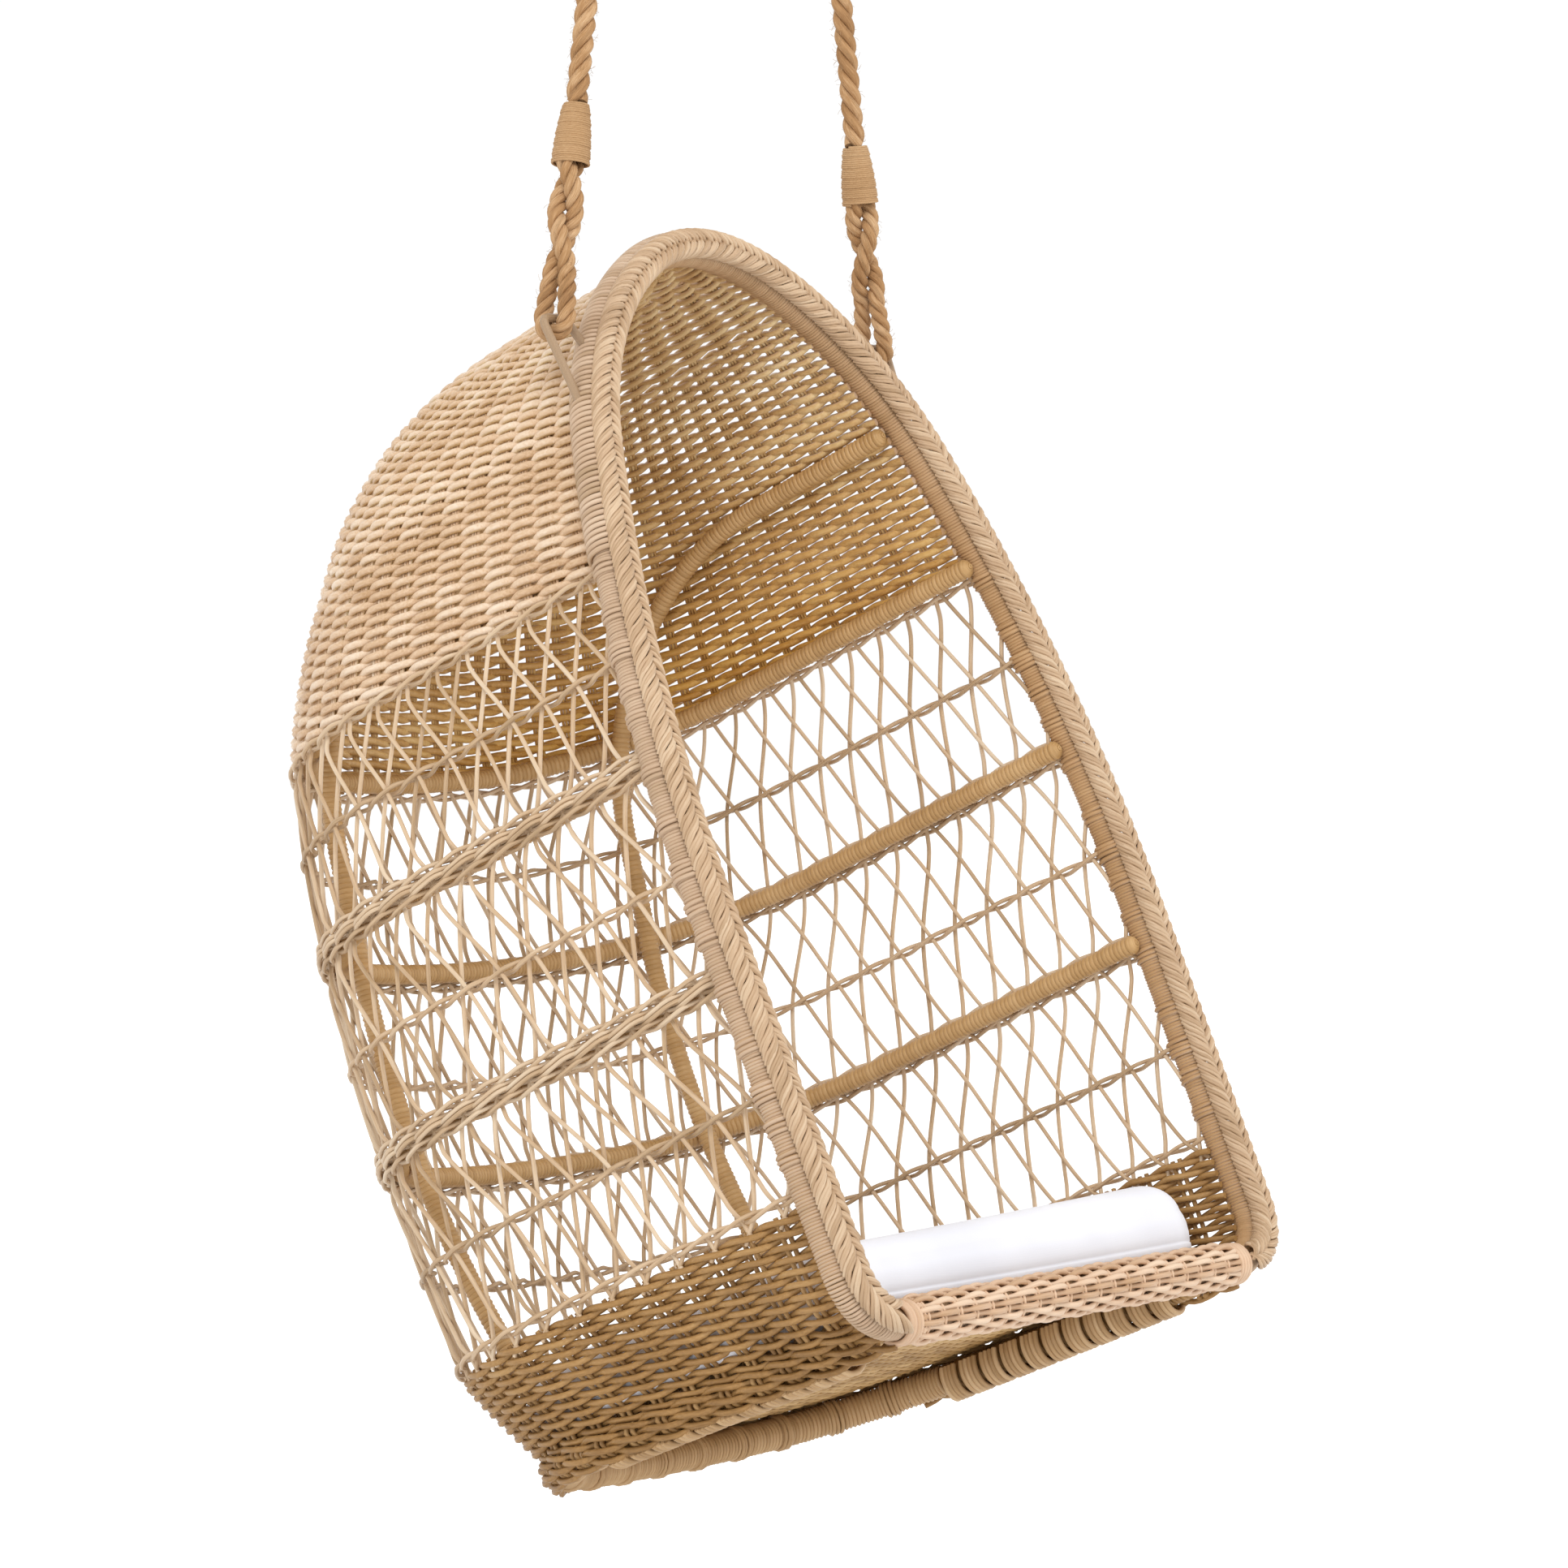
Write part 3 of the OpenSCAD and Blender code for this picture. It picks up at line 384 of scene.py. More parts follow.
def laid_strands(name, line, diameter, lay, side):
    yarns, radius = laid(line, diameter / 2, lay)
    return strands(name, [at_rope(yarn, side) for yarn in yarns], radius, rope_fibre, 10, YARN_TONES)


for side, tag in SIDES:
    route = np.array([(0, 0, z) for z in np.linspace(WHIP_LOW_TOP + PULL_GAP, WHIP_HIGH - PULL_GAP, 16)])
    fine = spaced(route, STEP)
    rope = laid_strands(f"hanging_rope_{tag}", fine, ROPE_D, ROPE_LAY, side)
    low = eye_line(0.004, WHIP_LOW + 0.004, 0.75)
    high = eye_line(0.005, ROPE_LEN - WHIP_HIGH_TOP + 0.002, 0.25) * (1, -1, -1) + (0, 0, ROPE_LEN)
    eyes = []
    for place, line in (("lower", low), ("upper", high)):
        eye = laid_strands(f"rope_eye_{place}_{tag}", line, EYE_D, EYE_LAY, side)
        eyes.append(eye)
        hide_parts(f"{place}_eye_{tag}")
    loose = fuzz(f"rope_fibres_{tag}", at_rope(fine, side), ROPE_D, 150, 0.005)
    eye_loose = fuzz(f"eye_fibres_{tag}", at_rope(low, side), EYE_D, 260, 0.0045)
    bindings = []
    for place, z0, z1, r0, r1 in (("lower", WHIP_LOW, WHIP_LOW_TOP, WHIP_WIDE, WHIP_NARROW),
                                  ("upper", WHIP_HIGH, WHIP_HIGH_TOP, WHIP_NARROW, WHIP_WIDE)):
        turns = int((z1 - z0) / 0.0019)
        u = np.linspace(0, 1, turns * 20)
        swell = r0 + (r1 - r0) * u - 0.0012 + 0.0012 * np.sin(math.pi * u)
        swell += 0.0006 * np.sin(u * 53) * np.sin(u * 17)
        spin = math.tau * turns * u
        height = z0 + 0.0011 + (z1 - z0 - 0.0022) * u
        coil = at_rope(np.stack([swell * np.cos(spin), swell * np.sin(spin), height], 1), side)
        binding = strands(f"whipping_{place}_{tag}", [coil], TWINE_R, whipping_twine)
        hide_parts(f"{place}_whipping_{tag}")
        bindings.append(binding)
    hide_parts(f"rope_{tag}")
    for piece in [rope, loose, eye_loose, *eyes, *bindings]:
        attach(piece, "ropes")

# ---- Ceiling brackets and pins ----
# Each rope hangs on a steel pin between the two cheeks of a folded bracket, which four
# screws hold to the ceiling. Both are powder coated in a warm grey brown.
bracket_coat, tree, skin = new_finish("bracket_coat")
speckle = noise(tree, put(tree, "ShaderNodeTexCoord")["Object"], 900, 2.0)
feed(tree, skin, {"Base Color": ramp(tree, speckle, shade("8a7056"), shade("a88c6c")),
                  "Normal": bumped(tree, speckle, 0.15, 0.0002), "Roughness": 0.42, "Metallic": 0.0})
for side, tag in SIDES:
    for node in (f"ceiling_bracket_{tag}", f"bracket_pin_{tag}", f"hanger_bail_{tag}"):
        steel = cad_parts[node]
        steel.data.materials.clear()
        steel.data.materials.append(bracket_coat)

# ---- Front hoop ----
# A bent steel tube closes the chair's open front. Pale strand is wound round it, turn
# against turn, all the way up the legs and over the arch.
LEAN, BAIL_HEIGHT = math.radians(24), 0.927


def hung(points):
    """Moves points from the chair's own frame, upright on its hoop, to the hanging pose."""
    return tipped(np.asarray(points, float) - (0, 0, BAIL_HEIGHT), LEAN) + (0, 0, BAIL_Z)


FOOT_HALF, LEG_SPREAD, ARCH_START = 0.330, 0.007, 0.346
SIDE_R, SHOULDER_R, CORNER_R = 1.230, 0.345, 0.050
SPLAY = math.atan2(LEG_SPREAD, ARCH_START)
SIDE_TURN, SHOULDER_TURN = math.radians(21.6), math.radians(43)
corner_foot = CORNER_R * math.tan((math.pi / 2 - SPLAY) / 2)
FOOT_RUN = FOOT_HALF - corner_foot
side_end = SIDE_TURN - SPLAY
shoulder_end = side_end + SHOULDER_TURN


def way(angle):
    """The direction at an angle in the hoop's plane."""
    return np.array([math.cos(angle), math.sin(angle)])


side_c = np.array([FOOT_HALF + LEG_SPREAD, ARCH_START]) - SIDE_R * way(-SPLAY)
shoulder = side_c + SIDE_R * way(side_end)
shoulder_c = shoulder - SHOULDER_R * way(side_end)
crown = shoulder_c + SHOULDER_R * way(shoulder_end)
CROWN_R = crown[0] / math.cos(shoulder_end)
crown_c = crown - CROWN_R * way(shoulder_end)
APEX = crown_c[1] + CROWN_R


def hoop_half(z):
    """Half width of the hoop's centre line at height z."""
    z = np.asarray(z, float)
    leg = FOOT_HALF + LEG_SPREAD * z / ARCH_START
    side, bend, top = (c[0] + np.sqrt(np.maximum(0, r ** 2 - (z - c[1]) ** 2))
                       for c, r in ((side_c, SIDE_R), (shoulder_c, SHOULDER_R), (crown_c, CROWN_R)))
    return np.select([z < ARCH_START, z < shoulder[1], z < crown[1]], [leg, side, bend], top)


def hoop_point(z, side=1):
    return np.array([side * float(hoop_half(z)), 0, z])


def bent_run(start, legs, step):
    """Points in a plane along straights (0, length) and bends (radius, angle) to the left."""
    p, heading, out = np.array(start, float), 0.0, []
    for radius, size in legs:
        if radius == 0:
            n = max(1, int(size / step))
            out += [p + size * k / n * way(heading) for k in range(n)]
            p = p + size * way(heading)
            continue
        inward = heading + math.pi / 2
        c = p + radius * way(inward)
        n = max(2, int(radius * size / step))
        out += [c - radius * way(inward + size * k / n) for k in range(n)]
        heading += size
        p = c - radius * way(inward + size)
    return np.array(out + [p])


leg_len = math.hypot(LEG_SPREAD, ARCH_START) - corner_foot
ARCH_HALF = [(CORNER_R, math.pi / 2 - SPLAY), (0, leg_len),
             (SIDE_R, SIDE_TURN), (SHOULDER_R, SHOULDER_TURN)]
ARCH = ARCH_HALF + [(CROWN_R, math.pi - 2 * shoulder_end)] + ARCH_HALF[::-1]


def winding_tree():
    """Sets a ring of strand on each point, square to the tube it is wound on."""
    tree, given, result = new_tree("turns_round_a_tube", {
        "Turns": "Geometry", "Tube radius": "Float", "Strand radius": "Float", "Ring sides": "Int",
        "Strand sides": "Int", "Wobble": "Float", "Finish": "Material"})
    turn = swept(tree, given, ring(tree, given["Ring sides"], given["Tube radius"]), "Strand sides")
    square = put(tree, "FunctionNodeAlignRotationToVector",
                 {"Vector": attribute(tree, "axis", "FLOAT_VECTOR")}, axis="Z")["Rotation"]
    chance = put(tree, "FunctionNodeRandomValue",
                 {"Seed": 11, "Min": scaled(tree, given["Wobble"], -1, 0), "Max": given["Wobble"]},
                 data_type="FLOAT_VECTOR")["Value"]
    tilt = put(tree, "FunctionNodeRotateRotation",
               {"Rotation": square, "Rotate By": chance}, rotation_space="LOCAL")
    copy = put(tree, "GeometryNodeInstanceOnPoints",
               {"Points": given["Turns"], "Instance": turn, "Rotation": tilt["Rotation"],
                "Scale": attribute(tree, "thick")})
    finish_strands(tree, copy["Instances"], given, result)
    return tree


WINDINGS = winding_tree()
CAP = (0.30, 0.58, 0.84)


def wound(name, lines, pitch, outer, strand, finish, sides=(16, 5), wobble=0.02, capped=False):
    """Strand wound round tubes of that outer radius along lines, turn against turn. Caps
    close the tubes' ends with smaller and smaller turns."""
    points, axes, girths = [], [], []
    for line in lines:
        even = spaced(line, pitch)
        along = tangents(even)
        girth = dice.uniform(0.985, 1.015, len(even))
        if capped:
            steps = np.arange(1, len(CAP) + 1)[:, None] * pitch * 0.45
            even = np.concatenate([even[0] - along[0] * steps[::-1], even, even[-1] + along[-1] * steps])
            along = np.pad(along, ((len(CAP), len(CAP)), (0, 0)), "edge")
            girth = np.concatenate([CAP, girth, CAP[::-1]])
        points.append(even)
        axes.append(along)
        girths.extend(girth)
    points = np.concatenate(points)
    mesh = bpy.data.meshes.new(name)
    mesh.from_pydata(points.tolist(), [], [])
    add = mesh.attributes.new
    add("axis", "FLOAT_VECTOR", "POINT").data.foreach_set("vector", np.concatenate(axes).ravel())
    add("tone", "FLOAT", "POINT").data.foreach_set("value", dice.uniform(0.3, 0.7, len(points)))
    add("thick", "FLOAT", "POINT").data.foreach_set("value", girths)
    return grown(name, mesh, WINDINGS, tube_radius=outer - strand, strand_radius=strand,
                 ring_sides=sides[0], strand_sides=sides[1], wobble=wobble, finish=finish)


# The two inner colours are painted shade: faces turned into the shell are darkened, more low down and on
# the far side.
pale_strand = strand_finish("pale_strand", "a58968 bda185 d0b89e", 0.5, 60, 0.35,
                            inner_shade=((0.93, 0.80, 0.58), (0.95, 0.86, 0.70)))
arch_x, arch_z = bent_run((FOOT_RUN, 0), ARCH, 0.003).T
arch_own = np.column_stack([arch_x, 0 * arch_x, arch_z])
HOOP_OUTER = 0.0142
hoop_turns = wound("hoop_winding", [hung(arch_own)], 0.0029, HOOP_OUTER, 0.0017, pale_strand, (18, 5))
foot = hung([(-FOOT_RUN, 0, 0), (FOOT_RUN, 0, 0)])
foot_turns = wound("hoop_foot_winding", [foot], 0.0042, HOOP_OUTER, 0.0023, pale_strand, (14, 5))
for piece in (hoop_turns, foot_turns):
    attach(piece, "chair")
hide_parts("front_hoop")

# ---- Rails and side tubes ----
# Three rails run round the back from one leg of the hoop to the other, and a side tube on
# each side comes down inside them. All are tubes wound with close turns of strand.
HOOD_Z, UPPER_Z, LOWER_Z, BASE_TOP = 0.700, 0.513, 0.315, 0.116
RAIL_R, CORNER, BACK_R, WALL_GAP = 0.0085, 0.200, 0.760, 0.0225


def depth(z):
    """Depth of the shell on its middle plane at height z."""
    z = np.asarray(z, float)
    share = np.clip((z - HOOD_Z) / (APEX - HOOD_Z), 0, 1)
    deep = (0.520, 0.528, 0.520, 0.504)
    open_part = np.interp(z, (BASE_TOP, LOWER_Z, UPPER_Z, HOOD_Z), deep)
    return np.where(z > HOOD_Z, deep[-1] * (1 - share ** 1.16) ** 0.25, open_part)


def plan(z, out=0.0):
    """The shell's outline at height z: half width, depth, corner radius, back radius."""
    return [float(hoop_half(z)) - WALL_GAP + out, float(depth(z)) + out, CORNER + out, BACK_R + out]


def plan_parts(p):
    """The back's half angle, where the side ends, and the lengths of side, back and corner."""
    half = math.asin((p[0] - p[2]) / (p[3] - p[2]))
    side = p[1] - p[3] + math.sqrt((p[3] - p[2]) ** 2 - (p[0] - p[2]) ** 2)
    back, corner = p[3] * half, p[2] * (math.pi / 2 - half)
    return half, side, back, corner


def half_len(p):
    """The outline's length from the middle of the back to one front end."""
    return sum(plan_parts(p)[1:])


def plan_point(p, run):
    """Points at distances run from the middle of the back, to the right where positive."""
    half, side, back, corner = plan_parts(p)
    r = np.abs(np.asarray(run, float))
    a = np.minimum(r, back) / p[3]
    b = half + np.clip(r - back, 0, corner) / p[2]
    x = np.where(r < back, p[3] * np.sin(a), p[0] - p[2] + p[2] * np.sin(b))
    y = np.where(r < back, p[1] - p[3] + p[3] * np.cos(a), side + p[2] * np.cos(b))
    y = np.where(r > back + corner, side - (r - back - corner), y)
    return np.stack([np.sign(run) * x, y], -1)


def plan_share(p, share, front):
    """Points at shares of each half of the outline, whose ends lie short of its own."""
    return plan_point(p, share * (half_len(p) - front))


def at_height(xy, z):
    return np.column_stack([xy, np.full(len(xy), z)])


def rail_line(z):
    """A level line round the shell from its left front to its right front."""
    p = plan(z)
    reach = half_len(p) - 0.004
    return at_height(plan_point(p, np.linspace(-reach, reach, int(2 * reach / 0.004) + 1)), z)


def side_tube_line():
    """Level at the top, bent down the back, seated in the rails, then bowed inwards."""
    top, foot_z, post_x, bend, behind_hoop = 0.838, 0.101, 0.2185, 0.273, 0.0123
    seat = RAIL_R * 2 + 0.0007

    def seat_y(z, x):
        p = plan(z, -seat)
        return plan_parts(p)[1] + math.sqrt(p[2] ** 2 - (x - p[0] + p[2]) ** 2)

    rise = 0.010
    cos = rise / math.hypot(float(hoop_half(top - rise / 2) - hoop_half(top + rise / 2)), rise)
    x0 = float(hoop_half(top)) - WALL_GAP / cos
    toe = math.atan2(post_x - x0, seat_y(HOOD_Z, post_x) - behind_hoop)

    def toed(z):
        further = (seat_y(z, post_x) - seat_y(HOOD_Z, post_x)) * math.tan(toe)
        return seat_y(z, post_x + further) - 0.0001

    c = np.array([toed(HOOD_Z) - math.sqrt(bend ** 2 - (bend - top + HOOD_Z) ** 2), top - bend])
    upper, lower = np.array([toed(UPPER_Z), UPPER_Z]), np.array([toed(LOWER_Z), LOWER_Z])
    away = upper - c
    turn = math.atan2(away[0], away[1]) - math.acos(bend / np.linalg.norm(away))
    straight = math.sqrt(np.linalg.norm(away) ** 2 - bend ** 2)
    bow = lower - upper
    post_r = np.dot(bow, bow) / (2 * np.dot(bow, [-math.sin(turn), -math.cos(turn)]))
    bow_turn = math.pi / 2 - turn + math.asin((UPPER_Z - foot_z) / post_r - math.cos(turn))
    legs = [(0, c[0] - behind_hoop), (bend, turn), (0, straight), (post_r, bow_turn)]
    back, down = bent_run((0, 0), legs, 0.004).T
    return np.stack([x0 + back * math.sin(toe), behind_hoop + back * math.cos(toe), top - down], 1)


rail_strand = strand_finish("rail_strand", "967346 b99361 d0af80", 0.40, 60, 0.3)


def wound_rail(node, name, line):
    turns = wound(name, [hung(line)], 0.0047, RAIL_R + 0.0009, 0.0034, rail_strand, (16, 8), capped=True)
    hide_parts(node)
    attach(turns, "chair")
    return turns


for rail, height in (("hood_rail", HOOD_Z), ("upper_rail", UPPER_Z), ("lower_rail", LOWER_Z)):
    wound_rail(rail, f"{rail}_winding", rail_line(height))
for side, tag in SIDES:
    post = wound_rail(f"side_tube_{tag}", f"side_tube_winding_{tag}", side_tube_line() * (side, 1, 1))

# ---- Braided rim ----
# A flat plait covers the front of the hoop. Groups of three strands cross from each edge
# to a groove in the middle and run towards the crown on one leg and from it on the other.
LEAF = np.array([(0.0112, 0.0130, -0.0050), (0.0126, 0.0165, -0.0010), (0.0122, 0.0200, 0.0030),
                 (0.0100, 0.0232, 0.0070), (0.0068, 0.0250, 0.0112), (0.0032, 0.0246, 0.0154),
                 (0.0000, 0.0222, 0.0190), (-0.0026, 0.0186, 0.0220)])
GROUP_STEP, FAN_START, FAN_END = 0.0116, 0.0037, 0.0021
rim = spaced(arch_own[::-1], 0.001)
rim_in = np.cross(tangents(rim), (0, -1, 0))
rim_run = np.arange(len(rim)) * np.linalg.norm(rim[1] - rim[0])
leaves = []
for start in np.arange(0, rim_run[-1] - 0.006, GROUP_STEP):
    for side, shift in ((-1, 0), (1, GROUP_STEP / 2)):
        for member in (-1, 0, 1):
            fan = member * np.linspace(FAN_START, FAN_END, len(LEAF))
            at = np.clip(start + shift + FAN_START + fan + LEAF[:, 2], 0, rim_run[-1])
            i = np.clip(np.searchsorted(rim_run, at), 0, len(rim) - 1)
            lift = LEAF[:, 1] + (0.0005 if member == 0 else -0.0003)
            leaves.append(rim[i] + rim_in[i] * (side * LEAF[:, 0])[:, None] + np.outer(lift, (0, -1, 0)))
braid_strand = strand_finish("braid_strand", "a28463 bd9f7f d0b89a", 0.42, 45, 0.4)
rim_braid = strands("rim_braid", [hung(leaf) for leaf in leaves], 0.0019, braid_strand)
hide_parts("braided_rim")
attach(rim_braid, "chair")

# ---- Hood ----
# A twined wall closes the chair's upper back and top. Pairs of strands twist round each
# other from rib to rib, and the rows nest more and more closely towards the ridge.
HOOD_RIBS, HOOD_ROWS, HOOD_FRONT, WALL_OUT, TOP = 22, 42, 0.0090, 0.016, 0.9995


def hood_plan(z, out):
    ridge = float(np.clip((z - HOOD_Z) / (APEX - HOOD_Z), 0, 1)) ** 3
    w = max(0.0006, float(hoop_half(z)) - WALL_GAP * (1 - 0.72 * ridge) + out * (1 - ridge))
    d = max(0.034, float(depth(z)) + out)
    return [w, d, min(CORNER + out, 0.9 * w, 0.9 * d), BACK_R + out]


HOOD_START, CLOSER = 0.6935, 0.95
near_apex = APEX - (APEX - CLOSER) * np.linspace(1, 0, 300) ** 2
outline_z = np.concatenate([np.linspace(HOOD_START, CLOSER, 200), near_apex])
outline_run = run_along(np.column_stack([hoop_half(outline_z), outline_z]))
HOOD_RUN = outline_run[-1]


def hood_height(level, further=0.0):
    """The height in the hoop's plane at a share of the outline's run from rail to crown."""
    return float(np.interp(level * HOOD_RUN + further, outline_run, outline_z))


def hood_surface(level, share):
    z = hood_height(level)
    p = hood_plan(z, WALL_OUT - 0.0055)
    return at_height(plan_share(p, share, HOOD_FRONT), z)


def twined(surface, level, share, count, swing, rise, top=TOP, phase=0.0, pinch=0.18, besides=(0.0,)):
    """The two strands of a row, or two bundles side by side: they change places between
    ribs and pass them in and out. Each comes with how far out it lies."""
    here = surface(level, share)
    along = surface(level, share + 1e-3) - surface(level, share - 1e-3)
    over = min(top, level + 2e-3)
    up = unit(surface(over, share) - surface(max(0, over - 4e-3), share))
    out = unit(np.cross(up, along))
    turn = math.pi * (share * count - phase)
    wave = np.cos(turn) * (1 - pinch * np.cos(2 * turn)) / (1 - pinch) * swing
    both = []
    for sign in (1, -1):
        for beside in besides:
            lift = sign * rise * np.sin(turn) + beside
            line = here + out * (sign * wave)[:, None] + up * lift[:, None]
            both.append((line, sign * np.cos(turn)))
    return both


def shares_for(count, per_rib, reach=1.0):
    n = max(8, int(2 * reach * count * per_rib))
    return np.linspace(-reach, reach, n + 1)


def row_strands(name, rows, radius, finish, tones=None):
    return strands(name, [hung(line) for line, wave in rows], radius, finish, 6, tones)


def tones_with_painted_shade(rows, base, drop, spread):
    """Tones for strands with painted shade: darker where they lie inside the wall, paler where they lie
    outside.
    """
    return [np.clip(base + dice.uniform(-spread, spread) + drop * w, 0, 1) for line, w in rows]


def ribs_at(level):
    """How many ribs a half row has: where they crowd together every second one stops."""
    run = half_len(hood_plan(hood_height(level), 0))
    return HOOD_RIBS if run > 0.40 else HOOD_RIBS / 2 if run > 0.20 else HOOD_RIBS / 4


levels = (np.arange(HOOD_ROWS) + 0.6) / HOOD_ROWS
hood_parts = ([], [])
probe = np.linspace(-0.98, 0.98, 99)
for j, level in enumerate(levels):
    count = ribs_at(level)
    rise = float(np.interp(level, [0.30, 0.62], [0.0018, 0.0012]))
    pair = twined(hood_surface, level, shares_for(count, 6), count, 0.0035, rise)
    hood_parts[int(level > 0.5)].extend(pair)
    if level > 0.55 and j + 1 < HOOD_ROWS:
        step = levels[j + 1] - level
        gap = hood_surface(min(levels[j + 1], TOP), probe) - hood_surface(level, probe)
        room = np.linalg.norm(gap, axis=1)
        extra = int(room.max() / 0.0135)
        for e in range(1, extra + 1):
            wide = probe[room > (e + 0.55) * 0.0112]
            if len(wide) > 2:
                share = shares_for(count, 8, abs(wide).max())
                between = min(level + step * e / (extra + 1), 0.999)
                hood_parts[1].extend(twined(hood_surface, between, share, count, 0.0026, 0.0010))
for level in (0.9996, 0.9984, 0.9972):
    hood_parts[1].extend(twined(hood_surface, level, shares_for(5, 8), 5, 0.0020, 0.0016, 0.9999))
# The two inner colours are painted shade: the hood's inner faces turn golden dark, most low down and on the
# far side.
wall_strand = strand_finish("wall_strand", "ab8459 d1b291 e8d6c0", 0.40, 50, 0.4,
                            inner_shade=((0.84, 0.64, 0.22), (1.0, 0.99, 0.76)))
for part, rows, thick in zip(("lower", "upper"), hood_parts, (0.0037, 0.0029)):
    # Painted shade: hood strands are darker where they pass inside the wall, paler where they lie outside.
    tones = tones_with_painted_shade(rows, 0.5, 0.16, 0.36)
    weave = row_strands(f"hood_rows_{part}", rows, thick, wall_strand, tones)
    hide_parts("hood_weave")
    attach(weave, "chair")
ribs = []
for k in range(-HOOD_RIBS + 1, HOOD_RIBS):
    stop = 0.995 if k % 4 == 0 else 0.90 if k % 2 == 0 else 0.66
    pair = np.array([k / HOOD_RIBS, k / HOOD_RIBS + 1e-3])
    both = np.array([hood_surface(v, pair) for v in np.linspace(0, stop, 60)])
    spine, beside = both[:, 0], unit(both[:, 1] - both[:, 0])
    ribs.extend(spine + beside * shift for shift in (-0.0032, 0.0, 0.0032))
hood_ribs = strands("hood_ribs", [hung(r) for r in ribs], 0.0016, wall_strand, 5)
END_R, END_POINTS, BURIED = 0.0162, 18, 0.0052
row_ends = []
for level in levels[:-3]:
    for shift in (-0.0027, 0.0027):
        here, ahead = hood_height(level, shift), hood_height(level, shift + 0.001)
        tube = hoop_point(here)
        climb = unit(hoop_point(ahead) - tube)
        out = np.array([climb[2], 0, -climb[0]])
        swing = np.radians(np.linspace(140, -66, END_POINTS))
        slip = 0.0030 * np.linspace(-1, 1, END_POINTS)
        far = (END_R - BURIED * np.clip(1 - np.arange(END_POINTS) / 4, 0, 1))[:, None]
        arc = far * (np.outer(np.cos(swing), out) + np.outer(np.sin(swing), (0, 1, 0)))
        loop = tube + arc + np.outer(slip, climb)
        row_ends.extend([loop, loop * (-1, 1, 1)])
hood_ends = strands("hood_row_ends", [hung(loop) for loop in row_ends], 0.0025, pale_strand)
for piece in (hood_ribs, hood_ends):
    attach(piece, "chair")

# ---- Lattice ----
# Two sets of strands run down the open sides and back, each slanting its own way. They
# pass outside the rails, and each end takes a few turns round the hoop.
RIBS, LATTICE_IN, LATTICE_OUT, FRONT = 19, 0.0108, 0.0150, 0.0080
LATTICE_R, SHIFT_B = 0.0021, 0.30
LEVELS_A = [(0.014, 0.0), (0.105, 0.77), (0.1865, 1.465)]
LEVELS_B = [(0.014, 0.0), (0.105, 1.24), (0.1865, 1.83)]


def eased(x, knots):
    """A smooth line through knots that never turns back."""
    kx, ky = np.array(knots, float).T
    slope = np.diff(ky) / np.diff(kx)
    mean = 2 * slope[1:] * slope[:-1] / (slope[1:] + slope[:-1] + 1e-12)
    m = np.concatenate([[slope[0]], mean, [slope[-1]]])
    i = np.clip(np.searchsorted(kx, x) - 1, 0, len(kx) - 2)
    h = kx[i + 1] - kx[i]
    t = (x - kx[i]) / h
    return ((2 * t ** 3 - 3 * t ** 2 + 1) * ky[i] + (t ** 3 - 2 * t ** 2 + t) * h * m[i]
            + (3 * t ** 2 - 2 * t ** 3) * ky[i + 1] + (t ** 3 - t ** 2) * h * m[i + 1])


EDGES = (HOOD_Z, UPPER_Z, LOWER_Z, BASE_TOP)
knots_a, knots_b = [(-0.03, -0.3)], [(-0.03, -0.3)]
for zone, (top, low) in enumerate(zip(EDGES, EDGES[1:])):
    stretch = (top - low) / (UPPER_Z - LOWER_Z)
    for knots, pattern in ((knots_a, LEVELS_A), (knots_b, LEVELS_B)):
        knots.extend((HOOD_Z - top + drop * stretch, 2 * zone + move) for drop, move in pattern)
for knots in (knots_a, knots_b):
    knots += [(HOOD_Z - BASE_TOP + 0.014, 6.0), (HOOD_Z - 0.080, 6.3)]
drops = np.linspace(-0.006, HOOD_Z - 0.104, 170)
z = HOOD_Z - drops
near_rail = np.min(np.abs(z[:, None] - np.array([HOOD_Z, UPPER_Z, LOWER_Z, 0.112])), axis=1)
clear = np.clip((near_rail - 0.008) / 0.02, 0, 1)
strand_lines, ends = [], []
for family, knots in ((1, knots_a), (-1, knots_b)):
    moved_on = eased(drops, knots)
    layer = clear * clear * (3 - 2 * clear) * (family < 0)
    out = LATTICE_IN + (LATTICE_OUT - LATTICE_IN) * layer
    for k in range(-RIBS - 8, RIBS + 9):
        at = (k + family * moved_on - SHIFT_B * (family < 0)) / RIBS
        inside = np.flatnonzero(np.abs(at) < 1)
        if len(inside) < 4:
            continue
        strand_lines.append([(*plan_share(plan(z[i], out[i]), at[i], FRONT), z[i]) for i in inside])
        ends.extend((math.copysign(1, at[i]), z[i]) for i in inside[[0, -1]] if 0 < i < len(z) - 1)
lattice_strand = strand_finish("lattice_strand", "9d815f c4a785 dac6ab", 0.38, 60, 0.35)
lattice = strands("lattice_strands", [hung(line) for line in strand_lines], LATTICE_R, lattice_strand)
for zone in ("top", "middle", "bottom"):
    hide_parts(f"lattice_{zone}")


def hoop_ties(name, places, turns, outer, wobble):
    """A few turns of strand round the hoop's legs at each place, given as side and height."""
    lines = [hung([hoop_point(z + d, side) for d in turns]) for side, z in places]
    return wound(name, lines, 0.0042, outer, LATTICE_R, pale_strand, wobble=wobble)


knots_at_hoop = hoop_ties("strand_ends", ends, (-0.0044, 0, 0.0044), 0.0163, 0.05)
for piece in (lattice, knots_at_hoop):
    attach(piece, "chair")

# ---- Twined rows ----
# Half way between two rails a pair of strands twists along the lattice, in front of and
# behind each pair of crossings, and holds them at an even spacing.


def level_surface(z, out):
    def surface(level, share):
        height = z + level * 0.001
        return at_height(plan_share(plan(height, out), share, FRONT), height)
    return surface


